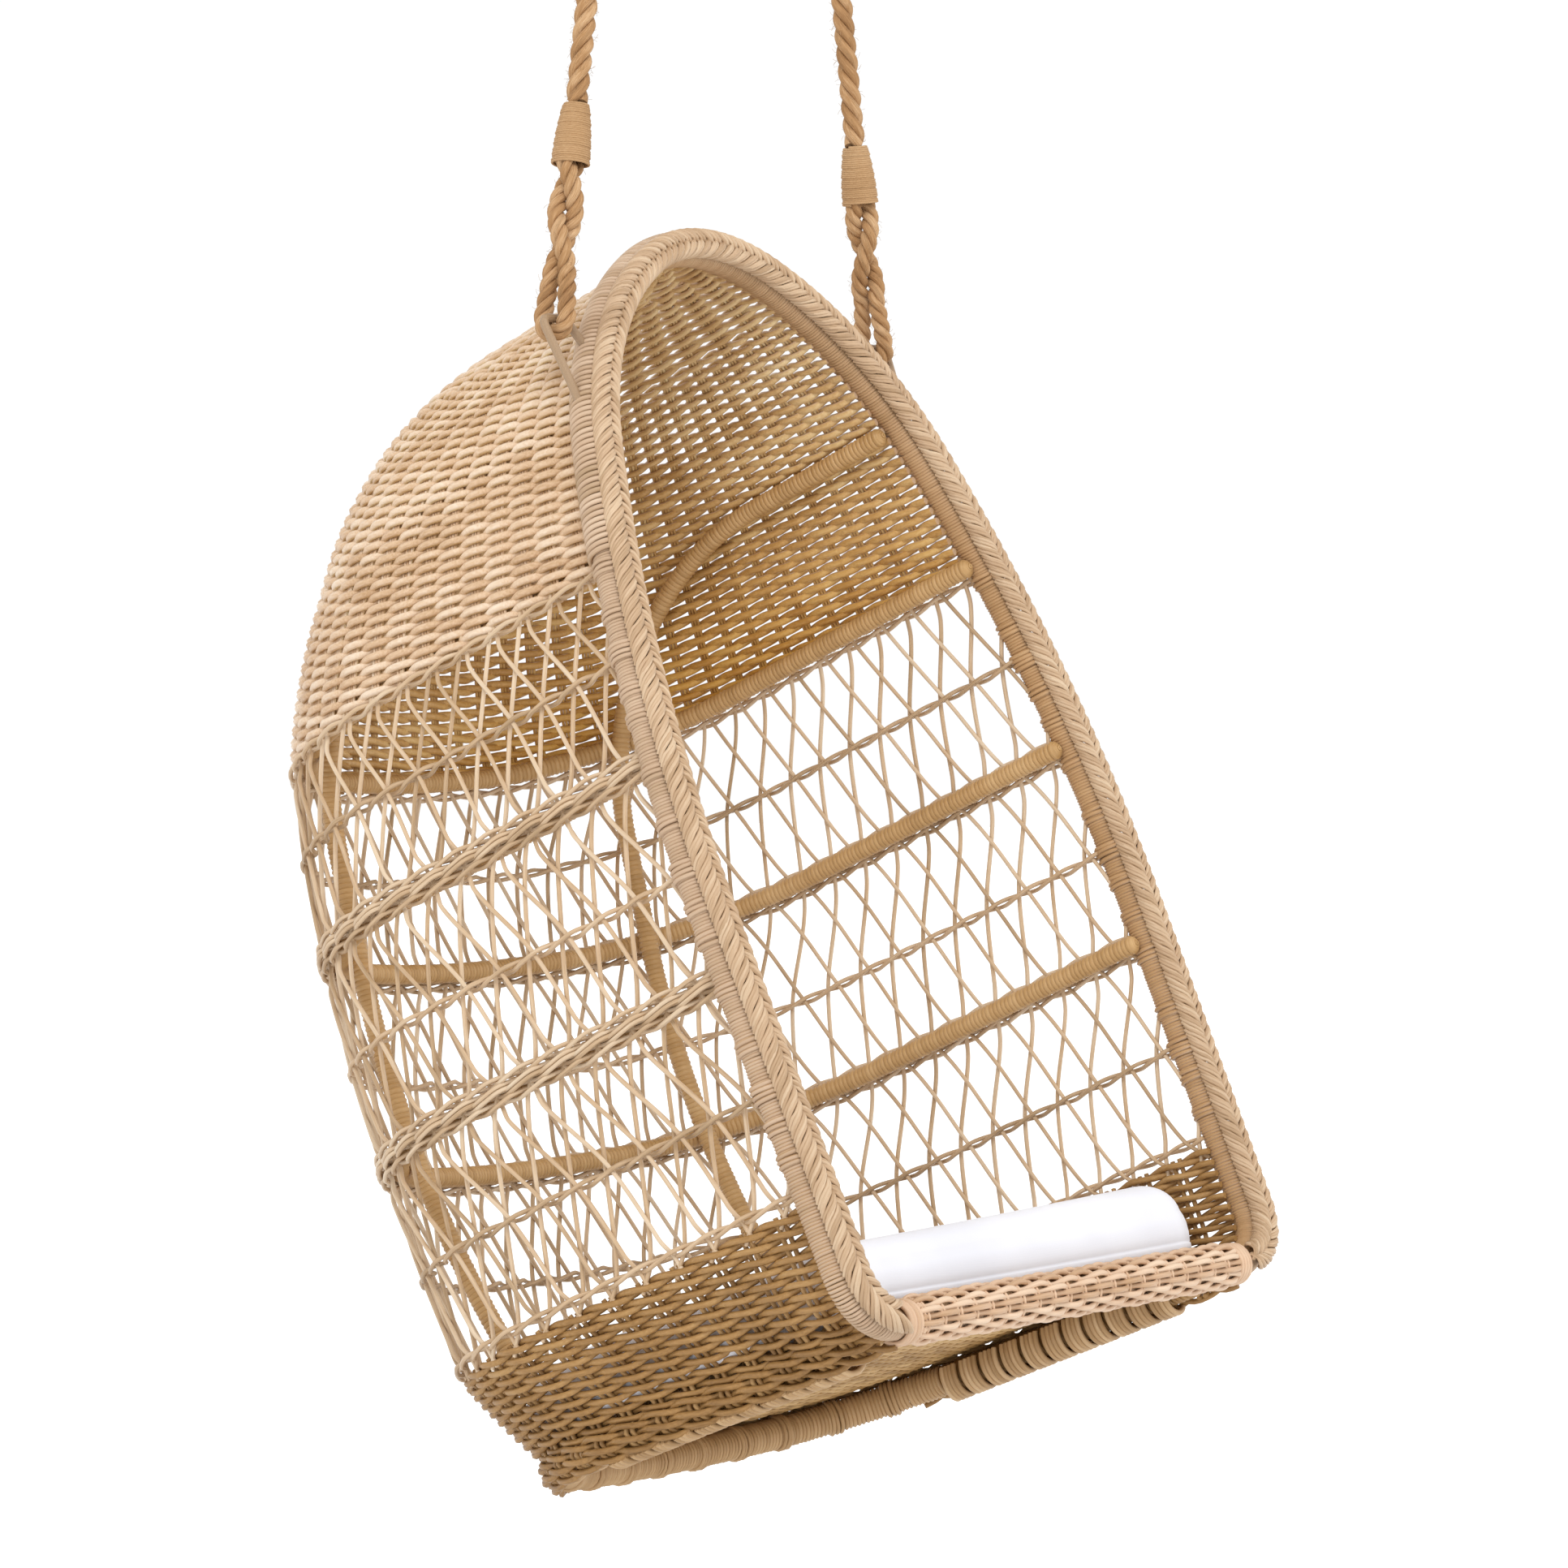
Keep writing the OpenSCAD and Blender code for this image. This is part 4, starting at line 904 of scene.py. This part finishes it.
ROW_ZS = (0.606, 0.408, 0.210)
share = shares_for(RIBS, 10)
row_lines = []
for z in ROW_ZS:
    row_lines += twined(level_surface(z, 0.0129), 0, share, RIBS, 0.0050, -0.0024, 1, 0.61, 0.2)
rows = row_strands("twined_rows", row_lines, LATTICE_R, lattice_strand)
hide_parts("twined_row_top", "twined_row_middle", "twined_row_bottom")
row_places = [(side, z) for side in (-1, 1) for z in ROW_ZS]
row_ties = hoop_ties("row_ends", row_places, (-0.0063, -0.0021, 0.0021, 0.0063), 0.0174, 0.04)
for piece in (rows, row_ties):
    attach(piece, "chair")

# ---- Rail bands ----
# Outside each rail, and along the edges of hood and base, pairs of strands twisted like
# cord cover the lattice strands where they are turned over the rail.
band_lines = []
for z, spots in ((HOOD_Z, (-0.0095,)), (UPPER_Z, (-0.0095, 0, 0.0095)),
                 (LOWER_Z, (-0.0095, 0, 0.0095)), (BASE_TOP, (0.0075,))):
    for spot in spots:
        out, besides = (0.0135, (0.0,)) if spot else (0.0150, (-LATTICE_R, LATTICE_R))
        band_lines += twined(level_surface(z + spot, out), 0, share, RIBS, 0.0044, -0.0025, 1,
                             0.80 + spot * 30, 0.2, besides)
bands = row_strands("rail_bands", band_lines, LATTICE_R, lattice_strand)
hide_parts("upper_rail_band", "lower_rail_band", "hood_edge_row", "base_edge_row")
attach(bands, "chair")

# ---- Base ----
# Below the lattice the strands run on as ribs of a close twined basket, which draws in
# to the rail under the seat. Its strand is browner than the hood's.
DRAW, FOOT_R, TILT = 0.044, 0.016, math.radians(1.9)
RAIL_IN = WALL_OUT - DRAW - FOOT_R
ROUND_R, WALL_SHARE, BASE_ROWS, BASE_FRONT, SUNK = 0.0170, 0.74, 13, 0.0050, 0.006
TURN_IN, WRAP_TURN, RAIL_DROP = math.radians(48), math.radians(112), 0.003


def base_surface(level, share):
    """Down the wall, then round the outer side of the rail under the seat. Near the front
    the wall spreads out to the hoop's legs."""
    flat = plan(0)
    y = plan_point(flat, half_len(flat) * np.clip(share, -1, 1))[:, 1]
    rail_z = y * math.tan(TILT) - RAIL_DROP
    drop = min(level / WALL_SHARE, 1)
    foot_z = rail_z + ROUND_R * math.sin(TURN_IN)
    z = BASE_TOP - 0.001 + (foot_z - BASE_TOP + 0.001) * drop
    edge = RAIL_IN + ROUND_R * math.cos(TURN_IN)
    off = edge + (WALL_OUT - SUNK - edge) * (1 - drop ** 1.15)
    past = max(0.0, level - WALL_SHARE) / (1 - WALL_SHARE)
    reached = off
    if past > 0:
        angle = TURN_IN - WRAP_TURN * past
        z = rail_z + ROUND_R * math.sin(angle)
        off, reached = RAIL_IN + ROUND_R * math.cos(angle), edge
    front = np.clip((np.abs(share) - 0.76) / 0.22, 0, 1)
    down = np.clip(CORNER_R - np.maximum(z, foot_z), 0, CORNER_R)
    leg = WALL_OUT - SUNK - CORNER_R + np.sqrt(CORNER_R ** 2 - down ** 2)
    off = off + (leg - reached) * front * front * (3 - 2 * front) * (1 - past)
    return np.array([(*plan_share(plan(max(height, -0.02), out), s, BASE_FRONT), height)
                     for s, height, out in zip(share, z, off)])


base_lines = []
share = shares_for(RIBS, 6)
for j in range(BASE_ROWS):
    level = (j + 0.5) / BASE_ROWS
    for part in (share,) if level < WALL_SHARE + 0.03 else (share[share < -0.24], share[share > 0.46]):
        for line, wave in twined(base_surface, level, part, RIBS, -0.0041, -0.0028, 0.998):
            # Painted shade: the base rows darken towards the bottom, and strands darken where they lie
            # inside the wall.
            base_lines.append((line, 0.66 - 0.5 * level - 0.12 * wave))
base_strand = strand_finish("base_strand", "79562b a27b49 bf9a66", 0.46, 55, 0.4)
base = row_strands("base_rows", base_lines, 0.0030, base_strand, tones_with_painted_shade(base_lines, 0.0, 1.0, 0.22))
rib_lines = []
for k in range(-RIBS + 1, RIBS):
    downs = np.linspace(0, 1 if k < -0.26 * RIBS or k > 0.48 * RIBS else WALL_SHARE, 14)
    for shift in (-0.0036, 0.0036):
        at = np.array([k / RIBS + shift / 0.68])
        rib_lines.append(hung([base_surface(v, at)[0] for v in downs]))
base_ribs = strands("base_ribs", rib_lines, 0.0024, base_strand, 5)
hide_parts("base_weave")
for piece in (base, base_ribs):
    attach(piece, "chair")

# ---- Bottom rail ----
# A steel rail under the seat carries the base. It is wound with pale strand round the back
# and brown strand along the sides, and thick turns in fours lace the panel to its sides.


def seated(points):
    """Moves points from the tilted seat's frame, over the bottom rail, to the row frame."""
    return hung(tipped(points, -TILT) - (0, 0, RAIL_DROP))


foot_strand = strand_finish("foot_strand", "97744a b8956a d0b188", 0.48, 55, 0.35)
foot_plan = plan(0, RAIL_IN)
BACK_REACH, SIDE_REACH = 0.330, half_len(foot_plan) - 0.040


def foot_path(start, end):
    """Points along the centre of the bottom rail, in the seat's frame."""
    run = np.linspace(start, end, max(3, int(abs(end - start) / 0.003)))
    return at_height(plan_point(foot_plan, run), 0)


back_path = seated(foot_path(-BACK_REACH, BACK_REACH))
side_paths = [seated(foot_path(side * BACK_REACH, side * SIDE_REACH)) for side in (-1, 1)]
foot_winding = wound("bottom_rail_winding", [back_path], 0.0043, 0.0152, 0.0023, foot_strand)
side_winding = wound("bottom_rail_side_winding", side_paths, 0.0052, 0.0145, 0.0028, base_strand, (14, 5))
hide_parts("bottom_rail")
tie_starts = np.arange(-BACK_REACH + 0.02, BACK_REACH - 0.02, 0.058)
tie_lines = [seated(foot_path(at, at + 0.0084)) for at in tie_starts]
foot_ties = wound("bottom_rail_ties", tie_lines, 0.0042, 0.0172, 0.0021, foot_strand, wobble=0.05)
LACE_OUT, LACE_POINTS = 0.0212, 14
lacing_lines = []
for group in np.arange(BACK_REACH + 0.01, SIDE_REACH - 0.016, 0.0245):
    for at in group + 0.0050 * np.arange(4):
        for side in (-1, 1):
            centre, ahead = plan_point(foot_plan, side * np.array([at, at + 0.001]))
            along = unit(ahead - centre)
            away = side * np.array([-along[1], along[0]])
            swing = np.radians(np.linspace(-52, -205, LACE_POINTS))
            slip = np.outer(np.linspace(-0.003, 0.003, LACE_POINTS), along)
            flat = centre + LACE_OUT * np.outer(np.cos(swing), away) + slip
            lacing_lines.append(seated(np.column_stack([flat, LACE_OUT * np.sin(swing)])))
seat_lacing = strands("seat_lacing", lacing_lines, 0.0027, foot_strand, 7)
for piece in (foot_winding, side_winding, foot_ties, seat_lacing):
    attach(piece, "chair")

# ---- Seat panel ----
# A flat twined panel is laced between the front roll and the rail round the back, and
# carries the cushion.
SEAT_Z, SEAT_START = FOOT_R + 0.0043, 0.024
WARP_STEP, PICK_STEP, PICK_SWING, PICK_RISE = 0.027, 0.0082, 0.0019, 0.0020
edge = plan_point(foot_plan, np.linspace(0, half_len(foot_plan) - 0.022, 400))
edge = edge[np.argsort(edge[:, 1])]
back_y = foot_plan[1] - 0.002
seat_lines = []
seat_rows = int((back_y - SEAT_START) / PICK_STEP)
for j in range(seat_rows):
    y = SEAT_START + (back_y - SEAT_START) * (j + 0.5) / seat_rows
    half = float(np.interp(y, edge[:, 1], edge[:, 0]))
    x = np.linspace(-half, half, max(6, int(2 * half / 0.0062)) + 1)
    turn = math.pi * x / WARP_STEP + j * 0.5
    for sign in (1, -1):
        height = SEAT_Z + sign * PICK_RISE * np.cos(turn)
        seat_lines.append(seated(np.column_stack([x, y + sign * PICK_SWING * np.sin(turn), height])))
panel_strand = strand_finish("panel_strand", "8d6a3c b6905c d2b07c", 0.5, 55, 0.4)
panel = strands("seat_rows", seat_lines, 0.0021, panel_strand)
warp = []
places = np.linspace(0.022, back_y, 200)
for x in np.arange(-11, 12) * WARP_STEP:
    far = places[np.interp(places, edge[:, 1], edge[:, 0]) > abs(x)]
    if len(far) > 4:
        warp.append(seated(np.linspace((x, far[0], SEAT_Z), (x, far[-1], SEAT_Z), 40)))
panel_ribs = strands("seat_ribs", warp, 0.0015, panel_strand, 5)
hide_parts("seat_weave")
for piece in (panel, panel_ribs):
    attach(piece, "chair")

# ---- Front roll ----
# A woven sleeve covers the hoop where a sitter's legs rest: lengthwise strands go over
# and under pairs of rings, and a few thick turns close it at each end.
ROLL_HALF, STAVES, RING_GAP, PAIR_HALF = 0.2592, 20, 0.0245, 0.0026
STAVE_MID, STAVE_SWING, STAVE_R, END_STEP = 0.0171, 0.0027, 0.0026, 0.00513
stave_lines = []
x = np.linspace(-ROLL_HALF, ROLL_HALF, 170)
for i in range(STAVES):
    angle = math.tau * (i + 0.5) / STAVES
    wave = np.cos(math.pi * x / RING_GAP + math.pi * i)
    r = STAVE_MID + STAVE_SWING * np.sign(wave) * np.abs(wave) ** 0.7
    stave_lines.append(hung(np.column_stack([x, -r * math.cos(angle), r * math.sin(angle)])))
roll_strand = strand_finish("roll_strand", "b18c66 d2b193 e4cdb3", 0.45, 50, 0.4)
staves = strands("roll_staves", stave_lines, STAVE_R, roll_strand, 7)
ring_places = -ROLL_HALF + 0.006 + np.arange(int(2 * ROLL_HALF / RING_GAP) + 1) * RING_GAP
ring_lines = [hung([(x - PAIR_HALF, 0, 0), (x + PAIR_HALF, 0, 0)]) for x in ring_places
              if abs(x) < ROLL_HALF - 0.004]
rings = wound("roll_rings", ring_lines, 2 * PAIR_HALF, 0.0188, 0.0018, roll_strand, (20, 5), 0.0)
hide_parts("front_roll")
for piece in (staves, rings):
    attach(piece, "chair")
for side, tag in SIDES:
    centres = hung([(side * (ROLL_HALF + 0.0034 + END_STEP * k), 0, 0) for k in range(4)])
    turns = wound(f"roll_end_turns_{tag}", [centres], END_STEP, 0.0197, 0.0027, roll_strand, (24, 8), 0.03)
    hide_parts(f"roll_wrap_{tag}")
    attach(turns, "chair")

# ---- Cushion ----
# A loose foam pad in a plain white cotton cover lies on the seat panel. It has a low crown
# and a round top edge, and a seam runs round its side near the foot.
PAD_T, PAD_CROWN, PAD_CORNER, PAD_OFF = 0.068, 0.010, 0.042, -0.021
PAD_FRONT, PAD_BACK_ROUND, PAD_FOOT_ROUND, PAD_TOP_ROUND = 0.024, 0.030, 0.009, 0.031
PAD_DEPTH, PAD_SLANT, PAD_HALF, PAD_OVER_RAIL = 0.520, 0.10, 0.28, FOOT_R + 0.0086
quarter = np.linspace(0, math.pi / 2, 11)


def pad_outline(inset):
    """Closed outline of the pad, drawn in by inset."""
    corner = max(0.030, CORNER + PAD_OFF + PAD_BACK_ROUND - inset)
    p = [plan(0.060, PAD_OFF)[0] - inset, PAD_DEPTH + PAD_OFF - inset, corner, BACK_R]
    front, rc = PAD_FRONT + inset, max(0.008, PAD_CORNER - inset / 2)
    s = np.linspace(-1, 1, 151)
    q = plan_share(p, s, front + rc)
    pull = 0.005 * np.sin(math.pi * np.clip((np.abs(s) - 0.45) / 0.55, 0, 1)) ** 2
    q[:, 0] -= np.sign(q[:, 0]) * pull
    a = quarter[1:]
    right = np.column_stack([p[0] - rc + rc * np.cos(a), front + rc - rc * np.sin(a)])
    x = (p[0] - rc) * np.linspace(1, -1, 61)[1:-1]
    middle = np.column_stack([x, front + 0.005 * np.cos(math.pi / 2 * x / p[0])])
    return np.concatenate([q, right, middle, right[::-1] * (-1, 1)])


profile = [(PAD_FOOT_ROUND + far, 0.0) for far in (0.110, 0.070, 0.040, 0.018)]
profile += [(PAD_FOOT_ROUND * (1 - math.sin(a)), PAD_FOOT_ROUND * (1 - math.cos(a))) for a in quarter]
profile += [(0.0009, 0.0102), (0.0, 0.0114), (-0.0012, 0.018), (-0.0018, 0.026), (-0.0012, 0.033)]
profile += [(PAD_TOP_ROUND * (1 - math.cos(a)), PAD_T - PAD_TOP_ROUND * (1 - math.sin(a))) for a in quarter]
profile += [(PAD_TOP_ROUND + 0.130 * t, PAD_T + PAD_CROWN * math.sin(math.pi / 2 * t))
            for t in np.linspace(0.08, 1, 18)]
outlines = [pad_outline(inset) for inset, z in profile]
n = len(outlines[0])
shells = [at_height(outline, z) for outline, (inset, z) in zip(outlines, profile)]
points = np.concatenate(shells + [[(0, 0.26, 0), (0, 0.26, PAD_T + PAD_CROWN)]])
faces = []
for j in range(0, (len(shells) - 1) * n, n):
    faces += [(j + i, j + (i + 1) % n, j + n + (i + 1) % n, j + n + i) for i in range(n)]
last = (len(shells) - 1) * n
for i in range(n):
    faces += [(last + n, (i + 1) % n, i), (last + n + 1, last + i, last + (i + 1) % n)]
points[:, 2] *= 1 + PAD_SLANT * points[:, 0] / PAD_HALF
pad_mesh = bpy.data.meshes.new("cushion_pad")
pad_mesh.from_pydata(seated(points + (0, 0, PAD_OVER_RAIL)).tolist(), [], faces)
pad_mesh.polygons.foreach_set("use_smooth", [True] * len(pad_mesh.polygons))
pad = shown("cushion_pad", pad_mesh)
cover, tree, skin = new_finish("cotton_cover")
place = put(tree, "ShaderNodeTexCoord")["Object"]
thread, cross = (put(tree, "ShaderNodeTexWave", {"Vector": place, "Scale": 500}, bands_direction=way)["Fac"]
                 for way in "XY")
woven = put(tree, "ShaderNodeMath", {0: thread, 1: cross}, operation="MULTIPLY")["Value"]
soft = noise(tree, place, 6, 3)
folds = bumped(tree, soft, 0.25, 0.004, Normal=bumped(tree, woven, 0.12, 0.0002))
# Painted shade: the cover is a little greyer where the soft folds sink and whiter where they rise.
white = ramp(tree, soft, shade("dcdde4"), shade("eaebf1"), (0.3, 0.7))
feed(tree, skin, {"Base Color": white, "Normal": folds, "Roughness": 0.9,
                  "Sheen Weight": 0.25, "Sheen Roughness": 0.5})
pad_mesh.materials.append(cover)
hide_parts("seat_cushion")
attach(pad, "cushion")
